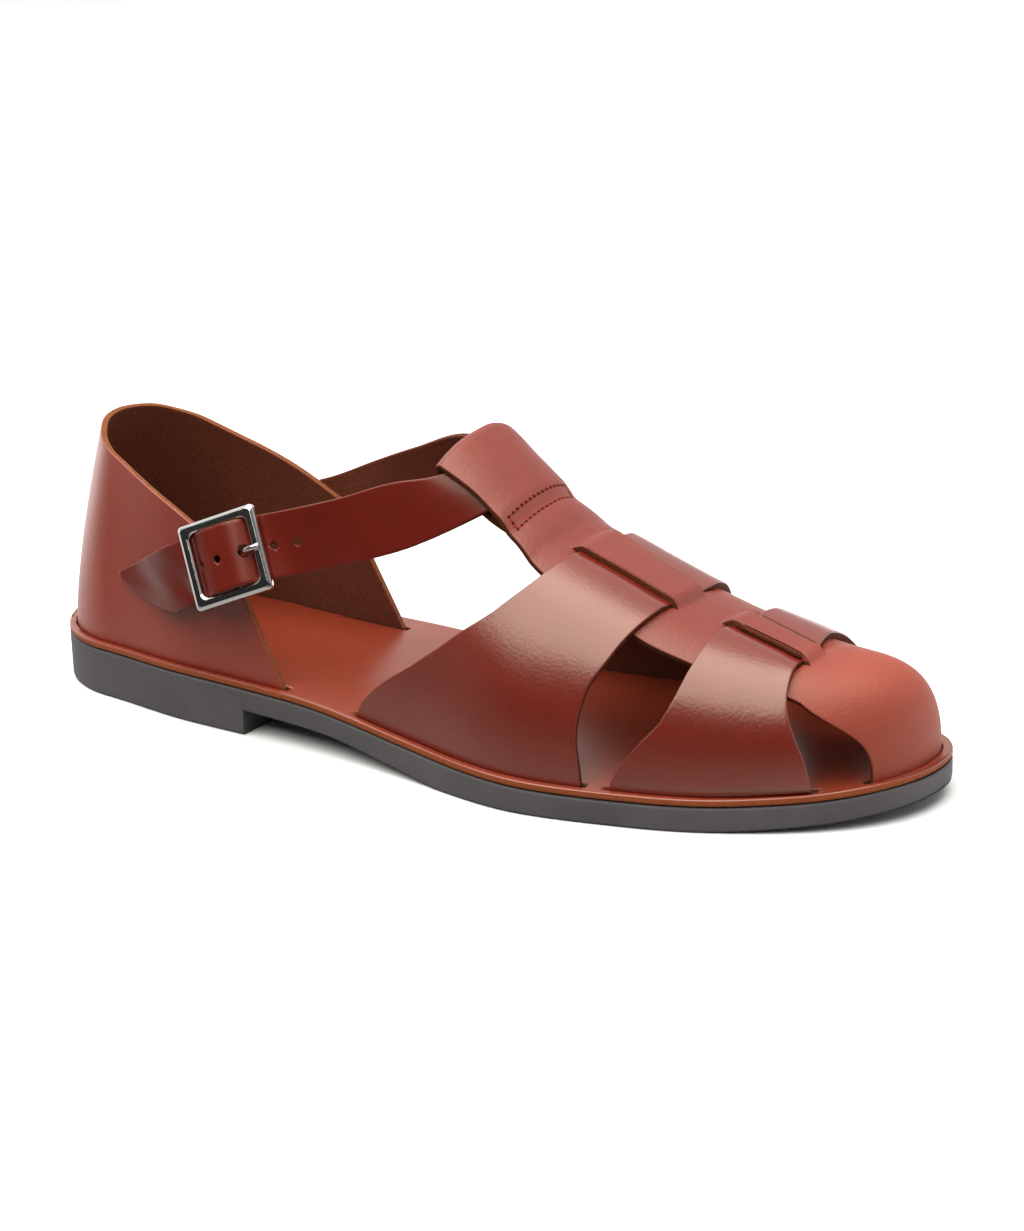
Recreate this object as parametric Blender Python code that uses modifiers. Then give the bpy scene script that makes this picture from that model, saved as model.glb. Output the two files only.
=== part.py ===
"""Leather fisherman sandal for the right foot, buckled and unworn.

Shapes are worked out in millimetres with the back of the heel at along = 0 and
the toe at along = LENGTH, then set down in metres with the origin under the
middle of the sole. +X points to the toe, +Y to the inner (medial) side of the
foot, -Y to the outer (lateral) side, where the buckle sits, and +Z up.
"""

import math
from collections import namedtuple

import bmesh
import bpy
import numpy as np
from mathutils import Matrix, Vector

for leftover in list(bpy.data.objects):
    bpy.data.objects.remove(leftover, do_unlink=True)

MM = 0.001
LATERAL = -1
MEDIAL = 1

# Overall sizes in millimetres
LENGTH = 285.0
MIDDLE = 0.24  # sideways middle of the sole
HEEL_ROUND = 33.0
TOE_ROUND = 69.0
TOE_SQUARENESS = 2.25
TOE_SWING = 13.0
SWING_FROM = 150.0
GAP = 0.3  # clearance between pieces that touch
TOPSOLE = 2.0
LEATHER = 2.0
FOOT = TOPSOLE - GAP  # how far a strap foot goes down into its slot
SLOT_SPARE = 1.5  # by which a slot is longer than its strap foot, at each end
SLOT_CUTTER = 5.0  # how far a slot's cutter reaches above and below the topsole's top
FUSE = 0.25  # overlap of leather layers that are joined
HEEL_BREAST = 90.0
BREAST_STEP = 0.4

# Half-widths of the sole, and how far the leather stands inside its edge
Outline = namedtuple("Outline", "along lateral medial")
OUTLINE = [
    Outline(along=0, lateral=32.0, medial=33.5),
    Outline(along=30, lateral=33.5, medial=33.0),
    Outline(along=70, lateral=38.5, medial=32.2),
    Outline(along=110, lateral=39.5, medial=33.8),
    Outline(along=150, lateral=44.0, medial=39.0),
    Outline(along=190, lateral=51.0, medial=44.0),
    Outline(along=225, lateral=47.0, medial=44.2),
    Outline(along=255, lateral=42.5, medial=40.5),
    Outline(along=285, lateral=39.5, medial=35.5),
]
MARGINS = [
    Outline(along=0, lateral=2.5, medial=2.5),
    Outline(along=50, lateral=2.5, medial=4.0),
    Outline(along=104, lateral=2.5, medial=8.0),
    Outline(along=131, lateral=2.5, medial=7.0),
    Outline(along=170, lateral=2.5, medial=4.5),
    Outline(along=210, lateral=2.5, medial=3.0),
    Outline(along=285, lateral=2.5, medial=3.0),
]
HEEL_MARGIN = 2.5
TOE_MARGIN = 2.8

# Heights of the rubber unit: flat heel and forefoot, hollow waist, raised toe
Profile = namedtuple("Profile", "along height")
SOLE_TOP = [
    Profile(along=0, height=14.4),
    Profile(along=65, height=14.4),
    Profile(along=105, height=13.4),
    Profile(along=170, height=7.9),
    Profile(along=210, height=7.0),
    Profile(along=235, height=7.0),
    Profile(along=262, height=8.2),
    Profile(along=285, height=10.6),
]
SOLE_BOTTOM = [
    Profile(along=90, height=7.4),
    Profile(along=120, height=6.0),
    Profile(along=145, height=2.6),
    Profile(along=165, height=0.0),
    Profile(along=235, height=0.0),
    Profile(along=262, height=1.6),
    Profile(along=285, height=4.6),
]

# The foot form that the straps lie on: crown height above the topsole and
# where the crown lies between the two sides
Form = namedtuple("Form", "along crown ridge")
FORM = [
    Form(along=120, crown=82.0, ridge=0.66),
    Form(along=144, crown=71.6, ridge=0.65),
    Form(along=155, crown=65.0, ridge=0.59),
    Form(along=163, crown=59.4, ridge=0.575),
    Form(along=183, crown=51.0, ridge=0.57),
    Form(along=200, crown=45.0, ridge=0.50),
    Form(along=215, crown=39.4, ridge=0.45),
    Form(along=228, crown=35.0, ridge=0.42),
    Form(along=240, crown=31.6, ridge=0.43),
    Form(along=252, crown=28.5, ridge=0.43),
    Form(along=262, crown=27.4, ridge=0.45),
    Form(along=285, crown=27.0, ridge=0.49),
]
LATERAL_POWER = 2.6
MEDIAL_POWER = 2.1
DOME_FROM = 250.0
DOME_POWER = 3.2

# Centre strip: sideways places of its two edges and of the slits inside them
Strip = namedtuple("Strip", "along lateral slit_lateral slit_medial medial")
STRIP = [
    Strip(along=140, lateral=-16.0, slit_lateral=-9.5, slit_medial=9.3, medial=15.8),
    Strip(along=160, lateral=-15.8, slit_lateral=-9.0, slit_medial=9.3, medial=14.4),
    Strip(along=170, lateral=-17.3, slit_lateral=-8.6, slit_medial=9.8, medial=16.2),
    Strip(along=183, lateral=-21.6, slit_lateral=-8.2, slit_medial=9.8, medial=19.6),
    Strip(along=216, lateral=-24.4, slit_lateral=-8.6, slit_medial=5.8, medial=21.0),
    Strip(along=228, lateral=-23.0, slit_lateral=-3.8, slit_medial=7.4, medial=22.0),
    Strip(along=244, lateral=-18.6, slit_lateral=-3.8, slit_medial=5.8, medial=24.0),
    Strip(along=256, lateral=-15.4, slit_lateral=-5.0, slit_medial=4.0, medial=27.0),
    Strip(along=285, lateral=-9.0, slit_lateral=5.0, slit_medial=21.0, medial=35.0),
]
Slit = namedtuple("Slit", "rear front")
SLITS = [
    Slit(rear=182.5, front=217.5),
    Slit(rear=226.5, front=255.5),
]
SLIT_OPENING = 0.5
BRIDGE_RAMP = 7.0
TOE_CAP_FROM = 257.0
TOE_CAP_LATERAL = -28.0  # degrees round the toe from its tip
TOE_CAP_MEDIAL = 30.0
TOE_CAP_BOW = 1.8

# Bands over the foot: the rear and front edges at each part of the turn from
# the foot of the band (0) to the crown of the form (1)
Band = namedtuple("Band", "turn rear front")
REAR_BAND = [
    Band(turn=0.0, rear=131.0, front=207.0),
    Band(turn=0.15, rear=153.0, front=205.5),
    Band(turn=0.3, rear=165.5, front=206.5),
    Band(turn=0.5, rear=177.5, front=210.3),
    Band(turn=0.7, rear=184.6, front=213.0),
    Band(turn=0.85, rear=187.7, front=214.3),
    Band(turn=1.0, rear=188.5, front=214.6),
]
FRONT_BAND = [
    Band(turn=0.0, rear=214.4, front=262.0),
    Band(turn=0.15, rear=221.5, front=260.0),
    Band(turn=0.3, rear=227.0, front=257.2),
    Band(turn=0.5, rear=230.0, front=254.2),
    Band(turn=0.7, rear=231.6, front=252.8),
    Band(turn=0.85, rear=232.4, front=252.2),
    Band(turn=1.0, rear=232.8, front=252.0),
]
MEDIAL_DRAWN = 6.0  # how far the front band's front edge is drawn back on the medial side
BAND_ROWS = 34
BAND_COLUMNS = 6
DIVE = 3.0  # over which a band goes from on top of the strip to under its bridge
BAND_RISE = 17.0  # over which a band climbs from the form on to the strip

# Loop at the top of the centre strip, round the ankle strap
STRAP = 1.9
SLACK = 0.45  # spare room under the strap in its loop
STRAP_HALF = 9.3
LOOP_STRAP = 153.15  # where the strap crosses the centre strip
STRAP_SPREAD = 7.95  # half its width, measured along the shoe
LOOP_FOLD = 145.5
LOOP_SKEW = 2.2  # how much further forward the loop lies at its lateral edge
SKEW_FADE = 14.0
FLAP_NARROWS = 147.0  # from here its sewn end gets narrower
FLAP_END = 0.84
LOOP_SEWN = [169.5, 165.0, 160.5, 155.0, 149.5]  # rows of the end sewn underneath
FOLD_STEPS = 6
TOE_STEPS = 10
SLIT_STEPS = 9

# Heel counter: rise of its top edge above the topsole from the back (0) to the
# tip of each wing (1), and how far it leans in at the top
Counter = namedtuple("Counter", "part rise lean")
COUNTER = [
    Counter(part=0.0, rise=63.5, lean=12.6),
    Counter(part=0.2, rise=62.5, lean=11.4),
    Counter(part=0.4, rise=58.7, lean=7.6),
    Counter(part=0.6, rise=52.3, lean=4.4),
    Counter(part=0.8, rise=45.7, lean=2.9),
    Counter(part=1.0, rise=37.0, lean=2.2),
]
COUNTER_LATERAL = 103.5
COUNTER_MEDIAL = 102.5
WING_CUT = 0.17  # share of the wing lost between the foot and the top edge

# Buckle: its middle, the way the strap runs through it and the way up across it
BUCKLE_AT = (88.75, -40.85, 53.85)
BUCKLE_ALONG = (0.893, 0.280, 0.352)
BUCKLE_UP = (-0.415, 0.209, 0.886)
FRAME_LONG = 24.8
FRAME_HIGH = 24.8
FRAME_BAR = 2.95
FRAME_THICK = 2.2
FRAME_CORNER = 1.2
FRAME_EDGE = 0.5
BAR_RADIUS = 0.9
BAR_DROP = 2.8  # how far the centre bar lies below the middle of the frame
BAR_BEND = 1.0
PRONG_RADIUS = 0.8
CHAPE = 1.4
CHAPE_HALF = 8.6

# Ankle strap inside the buckle: position along it and height off the frame
Pass = namedtuple("Pass", "along up height")
BUCKLE_PASS = [
    Pass(along=12.4, up=-0.3, height=-2.9),
    Pass(along=9.4, up=0.0, height=-2.4),
    Pass(along=6.6, up=0.0, height=0.3),
    Pass(along=3.8, up=0.0, height=1.6),
    Pass(along=0.0, up=0.0, height=1.6),
    Pass(along=-3.6, up=0.0, height=1.4),
    Pass(along=-6.5, up=0.0, height=0.0),
    Pass(along=-9.2, up=0.0, height=-2.4),
    Pass(along=-11.4, up=0.0, height=-2.9),
]
PRONG = [
    Pass(along=2.0, up=0.0, height=-0.7),
    Pass(along=4.2, up=0.0, height=-0.5),
    Pass(along=6.1, up=0.0, height=0.6),
    Pass(along=8.0, up=0.0, height=1.95),
    Pass(along=9.8, up=0.0, height=2.3),
    Pass(along=11.6, up=0.0, height=2.15),
]
HOOK_FROM = -50  # degrees round the centre bar where the prong's hook starts
HOOK_TO = -270  # and where it leaves the bar, on top
PRONG_HOLE_AT = 6.4
PRONG_HOLE_RADIUS = 2.1

# Free tail of the strap behind the buckle, and the chape sewn to the counter
TAIL_LONG = 41.0
TAIL_CUT = 20.0  # how much shorter its lower edge is
TAIL_CORNER = 5.0
TAIL_TIP = 3.0
TAIL_SLOPE = 0.47
TAIL_LIFT = 5.3
TAIL_REST = 1.4
TAIL_LEVEL = 9.0  # how far behind the buckle it stays up
TAIL_FALL = 22.0
Sewn = namedtuple("Sewn", "x z")
CHAPE_SEWN = [
    Sewn(x=61.0, z=42.4),
    Sewn(x=67.5, z=45.2),
    Sewn(x=73.5, z=47.8),
]
CHAPE_LEAN = 0.38
CHAPE_COLUMNS = 7
CHAPE_REST = CHAPE / 2 + GAP

# Free run of the ankle strap: middle of the strap and its downhill direction
Run = namedtuple("Run", "x y z down_x down_y down_z")
LATERAL_RUN = [
    Run(x=139.0, y=-24.2, z=69.2, down_x=0.47, down_y=-0.08, down_z=-0.88),
    Run(x=125.0, y=-28.4, z=64.2, down_x=0.37, down_y=-0.08, down_z=-0.925),
    Run(x=111.0, y=-31.2, z=60.0, down_x=0.35, down_y=0.0, down_z=-0.937),
]
MEDIAL_RUN = [
    Run(x=133.0, y=24.5, z=72.9, down_x=0.62, down_y=0.25, down_z=-0.74),
    Run(x=112.0, y=27.5, z=64.5, down_x=0.45, down_y=0.15, down_z=-0.88),
    Run(x=96.0, y=29.0, z=58.0, down_x=0.38, down_y=0.06, down_z=-0.92),
]
ANCHOR_FRONT = 82.0
ANCHOR_END = 58.0
ANCHOR_HEIGHT = 52.0
ANCHOR_SLOPE = 0.36
ANCHOR_LEAN = 0.34
LOOP_CROSSING = (16.0, 7.0, -1.0, -11.0, -16.0)  # rows of the strap across its loop


def column(table, name, at):
    """Smooth curve through one column of a table, without overshoot."""
    xs = np.array([row[0] for row in table], float)
    ys = np.array([getattr(row, name) for row in table], float)
    at = float(np.clip(at, xs[0], xs[-1]))
    step = np.diff(xs)
    slope = np.diff(ys) / step
    tangent = np.zeros(len(xs))
    tangent[0] = slope[0]
    tangent[-1] = slope[-1]
    for i in range(1, len(xs) - 1):
        if slope[i - 1] * slope[i] > 0:
            tangent[i] = 2 * slope[i - 1] * slope[i] / (slope[i - 1] + slope[i])
    i = int(np.clip(np.searchsorted(xs, at, side="right") - 1, 0, len(step) - 1))
    t = (at - xs[i]) / step[i]
    start = (1 + 2 * t) * (1 - t) ** 2 * ys[i] + t * (1 - t) ** 2 * step[i] * tangent[i]
    end = t * t * (3 - 2 * t) * ys[i + 1] + t * t * (t - 1) * step[i] * tangent[i + 1]
    return float(start + end)


def ease(t):
    """0 to 1 with a flat start and end."""
    t = min(max(t, 0.0), 1.0)
    return t * t * (3 - 2 * t)


def edge(along, side, inset=0.0, heel_inset=0.0, toe_inset=0.0):
    """Sideways position of the sole's edge, or of a line inside it."""
    name = "lateral" if side == LATERAL else "medial"
    half = column(OUTLINE, name, along) - inset
    swing = TOE_SWING * min(max((along - SWING_FROM) / (LENGTH - SWING_FROM), 0), 1) ** 1.5
    back = min(max((HEEL_ROUND - along) / (HEEL_ROUND - heel_inset), 0), 1)
    ahead = min(max((along - LENGTH + TOE_ROUND) / (TOE_ROUND - toe_inset), 0), 1)
    heel = math.sqrt(1 - back * back)
    toe = (1 - ahead**TOE_SQUARENESS) ** (1 / TOE_SQUARENESS)
    return swing + side * half * heel * toe


def leather_edge(along, side, depth):
    """Line where leather stands, depth inside the outer face of the strap."""
    name = "lateral" if side == LATERAL else "medial"
    margin = column(MARGINS, name, along)
    return edge(along, side, margin + depth, HEEL_MARGIN + depth, TOE_MARGIN + depth)


def sole_top(along):
    return column(SOLE_TOP, "height", along)


def sole_bottom(along):
    if along < HEEL_BREAST:
        return 0.0
    return column(SOLE_BOTTOM, "height", along)


def topsole_top(along):
    return sole_top(along) + GAP + TOPSOLE


def form_section(along):
    """Lateral foot, crown line, medial foot and crown height of the form."""
    tip = LENGTH - TOE_MARGIN - LEATHER
    along = min(along, tip - 0.02)
    lateral = leather_edge(along, LATERAL, LEATHER)
    medial = leather_edge(along, MEDIAL, LEATHER)
    crown = lateral + column(FORM, "ridge", along) * (medial - lateral)
    dome = min(max((along - DOME_FROM) / (tip - DOME_FROM), 0), 1)
    height = column(FORM, "crown", along) * (1 - dome**DOME_POWER) ** (1 / DOME_POWER)
    return lateral, crown, medial, height


def form_at(along, angle):
    """Point of the form: angle 0 at the lateral foot, pi at the medial foot."""
    lateral, crown, medial, height = form_section(along)
    on_lateral = angle < math.pi / 2
    reach = crown - lateral if on_lateral else crown - medial
    power = LATERAL_POWER if on_lateral else MEDIAL_POWER
    out = abs(math.cos(angle)) ** (2 / power)
    up = max(math.sin(angle), 0.0) ** (2 / power)
    return Vector((along, crown - reach * out, topsole_top(along) + height * up))


def angle_at(along, y):
    """Angle on the form of a point given by its sideways position."""
    lateral, crown, medial, height = form_section(along)
    if y < crown:
        share = (crown - y) / max(crown - lateral, 0.01)
        return math.acos(min(share, 1.0) ** (LATERAL_POWER / 2))
    share = (y - crown) / max(medial - crown, 0.01)
    return math.pi - math.acos(min(share, 1.0) ** (MEDIAL_POWER / 2))


def form_frame(along, angle):
    """Point, backward direction along the shoe and outward normal of the form."""
    reach = 0.4
    turn = 0.012
    low = min(max(angle - turn, 0.0), math.pi - 2 * turn)
    across = form_at(along, low + 2 * turn) - form_at(along, low)
    lengthwise = form_at(along + reach, angle) - form_at(along - reach, angle)
    normal = lengthwise.cross(across).normalized()
    return form_at(along, angle), -lengthwise.normalized(), normal


def foot_point(along, y, side, lift):
    """Middle of a strap's leather where it reaches the topsole."""
    normal = form_frame(along - 0.05, 0.0 if side == LATERAL else math.pi)[2]
    outward = Vector((normal.x, normal.y, 0)).normalized()
    return Vector((along, y, topsole_top(along))) + outward * lift


def on_form(along, y, lift, back=0.0):
    """Point at a height off the form, moved back along it if wanted."""
    point, backward, normal = form_frame(along, angle_at(along, y))
    return point + normal * lift + backward * back


# Rows of the centre strip, from its folded end, round the loop and down to the toe
StripRow = namedtuple("StripRow", "along lift back toe foot narrow")
UNDER = LEATHER / 2
STITCHED = UNDER + LEATHER + GAP
OVER = UNDER + LEATHER + STRAP + SLACK + 3 * GAP


LoopTop = namedtuple("LoopTop", "along lift")
LOOP_TOP = [
    LoopTop(along=149.5, lift=OVER),
    LoopTop(along=155.0, lift=OVER),
    LoopTop(along=159.8, lift=OVER),
    LoopTop(along=162.6, lift=OVER - 0.2),
    LoopTop(along=165.4, lift=OVER - 1.3),
    LoopTop(along=168.2, lift=STITCHED + 0.3),
    LoopTop(along=171.0, lift=STITCHED),
    LoopTop(along=174.4, lift=STITCHED - 0.7),
    LoopTop(along=178.2, lift=UNDER + 0.5),
]


def strip_rows():
    rows = []
    for along in LOOP_SEWN:
        tapered = max(along - FLAP_NARROWS, 0) / (LOOP_SEWN[0] - FLAP_NARROWS)
        rows.append(StripRow(along, UNDER, 0.0, 0.0, 0.0, 1 - (1 - FLAP_END) * tapered))
    bend = (OVER - UNDER) / 2
    for step in range(FOLD_STEPS + 1):
        turn = math.pi * step / FOLD_STEPS
        lift = UNDER + bend * (1 - math.cos(turn))
        rows.append(StripRow(LOOP_FOLD, lift, bend * math.sin(turn), 0.0, 0.0, 1.0))
    for top in LOOP_TOP:
        rows.append(StripRow(top.along, top.lift, 0.0, 0.0, 0.0, 1.0))
    between = (SLITS[0].front + SLITS[1].rear) / 2
    level = []
    for slit in SLITS:
        level += list(np.linspace(slit.rear, slit.front, SLIT_STEPS + 1))
    for along in sorted(level + [between]):
        rows.append(StripRow(float(along), UNDER, 0.0, 0.0, 0.0, 1.0))
    for step in range(TOE_STEPS + 1):
        rows.append(StripRow(TOE_CAP_FROM, UNDER, 0.0, step / TOE_STEPS, 0.0, 1.0))
    rows.append(StripRow(TOE_CAP_FROM, UNDER, 0.0, 1.0, FOOT, 1.0))
    return rows


def toe_foot(turn):
    """Inner foot of the toe cap and its side, by degrees from the tip."""
    side = LATERAL if turn < 0 else MEDIAL
    turn = math.radians(abs(turn))
    reach = TOE_ROUND - TOE_MARGIN - LEATHER
    along = LENGTH - TOE_ROUND + reach * math.cos(turn) ** (2 / TOE_SQUARENESS)
    return along, leather_edge(along, side, LEATHER), side


def strip_across(along, share):
    """Sideways position on the strip; shares -0.5 and 0.5 follow the slits."""
    lines = ("lateral", "slit_lateral", "slit_medial", "medial")
    places = [column(STRIP, name, along) for name in lines]
    return float(np.interp(share, [-1, -0.5, 0.5, 1], places))


def bridge_lift(along):
    for slit in SLITS:
        if slit.rear < along < slit.front:
            return ease((along - slit.rear) / BRIDGE_RAMP) * ease((slit.front - along) / BRIDGE_RAMP)
    return 0.0


def loop_skew(along, share):
    """How much further forward the loop lies towards its lateral edge."""
    return LOOP_SKEW * (1 - share) / 2 * ease((SLITS[0].rear - along) / SKEW_FADE)


def strip_point(row, share, inside):
    """Middle of the leather at a row of the strip; inside means on the bridge."""
    if row.toe > 0:
        start = Vector((TOE_CAP_FROM, strip_across(TOE_CAP_FROM, share)))
        turn = float(np.interp(share, [-1, 0, 1], [TOE_CAP_LATERAL, 0, TOE_CAP_MEDIAL]))
        end_x, end_y, side = toe_foot(turn)
        reach = math.sin(row.toe * math.pi / 2)
        plan_x = start.x + (end_x - start.x) * reach
        plan_y = start.y + (end_y - start.y) * reach**TOE_CAP_BOW
        if row.toe < 1:
            return on_form(plan_x, plan_y, row.lift)
        return foot_point(end_x, end_y, side, row.lift) - Vector((0, 0, row.foot))
    lifted = bridge_lift(row.along)
    along = row.along + loop_skew(row.along, share)
    y = strip_across(along, share * row.narrow)
    lift = row.lift
    if inside:
        lift += (LEATHER - FUSE) * lifted
    if abs(abs(share) - 0.5) < 0.01:
        pull = math.copysign(SLIT_OPENING * lifted, share)
        y += -pull if inside else pull
    return on_form(along, y, lift, row.back)


def band_lift(along, y):
    """How far a band is raised off the form: on the strip, or under its bridge."""
    past_slit = max(column(STRIP, "slit_lateral", along) - y, y - column(STRIP, "slit_medial", along))
    past_edge = max(column(STRIP, "lateral", along) - y, y - column(STRIP, "medial", along))
    over = ease((past_slit + 0.4 * DIVE) / DIVE)
    down = ease((past_edge - 1.0) / BAND_RISE)
    return (LEATHER - FUSE) * over * (1 - down)


# Meshes from mapped grids
collection = bpy.data.collections.new("sandal")
cutters = bpy.data.collections.new("cutters")
bpy.context.scene.collection.children.link(collection)
bpy.context.scene.collection.children.link(cutters)
cutters.hide_render = True

Finish = namedtuple("Finish", "red green blue metallic roughness")
FINISHES = {
    "outsole": Finish(0.055, 0.052, 0.053, 0.0, 0.75),
    "topsole": Finish(0.36, 0.09, 0.03, 0.0, 0.5),
    "upper": Finish(0.25, 0.05, 0.03, 0.0, 0.38),
    "heel_counter": Finish(0.25, 0.05, 0.03, 0.0, 0.38),
    "ankle_strap": Finish(0.25, 0.05, 0.03, 0.0, 0.38),
    "buckle_frame": Finish(0.62, 0.61, 0.60, 1.0, 0.2),
    "buckle_prong": Finish(0.62, 0.61, 0.60, 1.0, 0.2),
    "buckle_chape": Finish(0.22, 0.045, 0.028, 0.0, 0.45),
}


def set_down(point):
    """From millimetres along the shoe to metres in the part's own frame."""
    return Vector((point[0] - LENGTH / 2, point[1] - MIDDLE, point[2])) * MM


def add_object(name, bm):
    mesh = bpy.data.meshes.new(name)
    bmesh.ops.recalc_face_normals(bm, faces=bm.faces[:])
    bm.to_mesh(mesh)
    bm.free()
    obj = bpy.data.objects.new(name, mesh)
    if name in FINISHES:
        finish = FINISHES[name]
        material = bpy.data.materials.new(name)
        material.use_nodes = True
        shader = material.node_tree.nodes["Principled BSDF"]
        shader.inputs["Base Color"].default_value = (finish.red, finish.green, finish.blue, 1)
        shader.inputs["Metallic"].default_value = finish.metallic
        shader.inputs["Roughness"].default_value = finish.roughness
        mesh.materials.append(material)
        collection.objects.link(obj)
    else:
        obj.hide_render = True
        obj.display_type = "WIRE"
        cutters.objects.link(obj)
    return obj


def grid(columns, rows):
    """Flat grid of faces and the whole-number place of each of its points."""
    bm = bmesh.new()
    bmesh.ops.create_grid(bm, x_segments=columns, y_segments=rows, size=1)
    place = {}
    for vertex in bm.verts:
        i = round((vertex.co.x + 1) / 2 * columns)
        j = round((vertex.co.y + 1) / 2 * rows)
        place[vertex] = (i, j)
    return bm, place


def thicken(obj, thickness):
    shell = obj.modifiers.new("leather", "SOLIDIFY")
    shell.thickness = thickness * MM
    shell.offset = 0
    shell.use_even_offset = True


def combine(obj, other, operation):
    boolean = obj.modifiers.new(other.name, "BOOLEAN")
    boolean.operation = operation
    boolean.solver = "EXACT"
    boolean.object = other


def sheet(name, columns, rows, at, thickness):
    """Leather piece: a grid mapped to the middle of the leather, then thickened."""
    bm, place = grid(columns, rows)
    for vertex, (i, j) in place.items():
        vertex.co = set_down(at(i, j))
    obj = add_object(name, bm)
    thicken(obj, thickness)
    return obj


def slab(name, stations, across, top, bottom):
    """Plate with the outline of the sole between two heights along it."""
    bm, place = grid(across, len(stations) - 1)
    for vertex, (i, j) in place.items():
        along = stations[j]
        lateral = edge(along, LATERAL)
        medial = edge(along, MEDIAL)
        y = lateral + (medial - lateral) * i / across
        vertex.co = set_down((along, y, top(along)))
    low = bmesh.ops.extrude_face_region(bm, geom=bm.faces[:])["geom"]
    for item in low:
        if isinstance(item, bmesh.types.BMVert):
            along = item.co.x / MM + LENGTH / 2
            item.co.z = bottom(along) * MM
    bmesh.ops.remove_doubles(bm, verts=bm.verts[:], dist=1e-7)
    return add_object(name, bm)


def tube(name, path, radius, sides):
    """Round wire along a path of points in the buckle's own frame."""
    bm, place = grid(sides, len(path) - 1)
    tangents = []
    for j in range(len(path)):
        before = path[max(j - 1, 0)]
        after = path[min(j + 1, len(path) - 1)]
        tangents.append((after - before).normalized())
    side = tangents[0].orthogonal().normalized()
    frames = []
    for tangent in tangents:
        side = (side - tangent * side.dot(tangent)).normalized()
        frames.append((side.copy(), tangent.cross(side)))
    for vertex, (i, j) in place.items():
        turn = 2 * math.pi * i / sides
        first, second = frames[j]
        vertex.co = (path[j] + (first * math.cos(turn) + second * math.sin(turn)) * radius) * MM
    bmesh.ops.remove_doubles(bm, verts=bm.verts[:], dist=1e-7)
    rims = [item for item in bm.edges if item.is_boundary]
    bmesh.ops.holes_fill(bm, edges=rims, sides=0)
    return add_object(name, bm)


# Sole
def ends_spaced(start, end, count):
    """Stations that crowd together towards both ends."""
    turns = np.linspace(0, math.pi, count)
    return [start + (end - start) * (1 - math.cos(turn)) / 2 for turn in turns]


stations = ends_spaced(0, LENGTH, 45)
stations = [along for along in stations if abs(along - HEEL_BREAST) > 2]
stations += [HEEL_BREAST - BREAST_STEP / 2, HEEL_BREAST + BREAST_STEP / 2, 165.0, 235.0]
stations.sort()
outsole = slab("outsole", stations, 10, sole_top, sole_bottom)
topsole = slab(
    "topsole",
    ends_spaced(0, LENGTH, 45),
    10,
    topsole_top,
    lambda along: sole_top(along) + GAP,
)


def slot(name, path):
    """Upright cutter along a line of points, wide enough for a strap foot."""

    def at(i, j):
        along, y = path[i]
        return (along, y, topsole_top(along) + SLOT_CUTTER * (2 * j - 1))

    obj = sheet(name, len(path) - 1, 1, at, LEATHER + 2 * GAP)
    combine(topsole, obj, "DIFFERENCE")


for label, table in (("rear_band", REAR_BAND), ("front_band", FRONT_BAND)):
    for side in (LATERAL, MEDIAL):
        line = []
        ends = table[0]
        columns = list(np.linspace(ends.rear, ends.front, BAND_COLUMNS + 1))
        for along in [ends.rear - SLOT_SPARE] + columns + [ends.front + SLOT_SPARE]:
            foot = foot_point(along, leather_edge(along, side, LEATHER), side, LEATHER / 2)
            line.append((foot.x, foot.y))
        slot(f"slot_{label}_{side:+d}", line)

line = []
for turn in np.linspace(TOE_CAP_LATERAL - 3, TOE_CAP_MEDIAL + 3, 23):
    foot = foot_point(*toe_foot(turn), LEATHER / 2)
    line.append((foot.x, foot.y))
slot("slot_toe_cap", line)

# Upper: centre strip with its loop, bridges and toe cap, woven with two bands
rows = strip_rows()
shares = [-1.0, -0.88, -0.76, -0.63, -0.5, -0.25, 0.0, 0.25, 0.5, 0.63, 0.76, 0.88, 1.0]
COLUMNS = len(shares) - 1
bm, place = grid(COLUMNS, len(rows) - 1)
cut = []
for item in bm.edges:
    first, second = (place[vertex] for vertex in item.verts)
    on_slit = first[0] == second[0] and abs(abs(shares[first[0]]) - 0.5) < 0.01
    if not on_slit:
        continue
    along = (rows[first[1]].along + rows[second[1]].along) / 2
    in_toe = rows[first[1]].toe > 0 or rows[second[1]].toe > 0
    if not in_toe and any(slit.rear < along < slit.front for slit in SLITS):
        cut.append(item)
bmesh.ops.split_edges(bm, edges=cut)
bridge_half = 2 * shares.index(0.5) / COLUMNS - 1
moved = []
for vertex in bm.verts:
    i = round((vertex.co.x + 1) / 2 * COLUMNS)
    j = round((vertex.co.y + 1) / 2 * (len(rows) - 1))
    inside = all(abs(face.calc_center_median().x) < bridge_half for face in vertex.link_faces)
    moved.append((vertex, strip_point(rows[j], shares[i], inside)))
for vertex, point in moved:
    vertex.co = set_down(point)
upper = add_object("upper", bm)
thicken(upper, LEATHER)

def band_point(table, i, j):
    foot = FOOT if j in (0, BAND_ROWS) else 0.0
    angle = math.pi * min(max((j - 1) / (BAND_ROWS - 2), 0.0), 1.0)
    turn = 1 - abs(1 - angle / (math.pi / 2))
    rear = column(table, "rear", turn)
    front = column(table, "front", turn)
    if table is FRONT_BAND and angle > math.pi / 2:
        front -= MEDIAL_DRAWN * math.sin(math.pi * turn)
    along = rear + (front - rear) * i / BAND_COLUMNS
    point, backward, normal = form_frame(along, angle)
    if angle in (0.0, math.pi):
        side = LATERAL if angle == 0.0 else MEDIAL
        return foot_point(along, point.y, side, LEATHER / 2) - Vector((0, 0, foot))
    return point + normal * (LEATHER / 2 + band_lift(along, point.y))


for label, table in (("rear_band", REAR_BAND), ("front_band", FRONT_BAND)):
    band = sheet(label, BAND_COLUMNS, BAND_ROWS, lambda i, j: band_point(table, i, j), LEATHER)
    combine(upper, band, "UNION")


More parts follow.
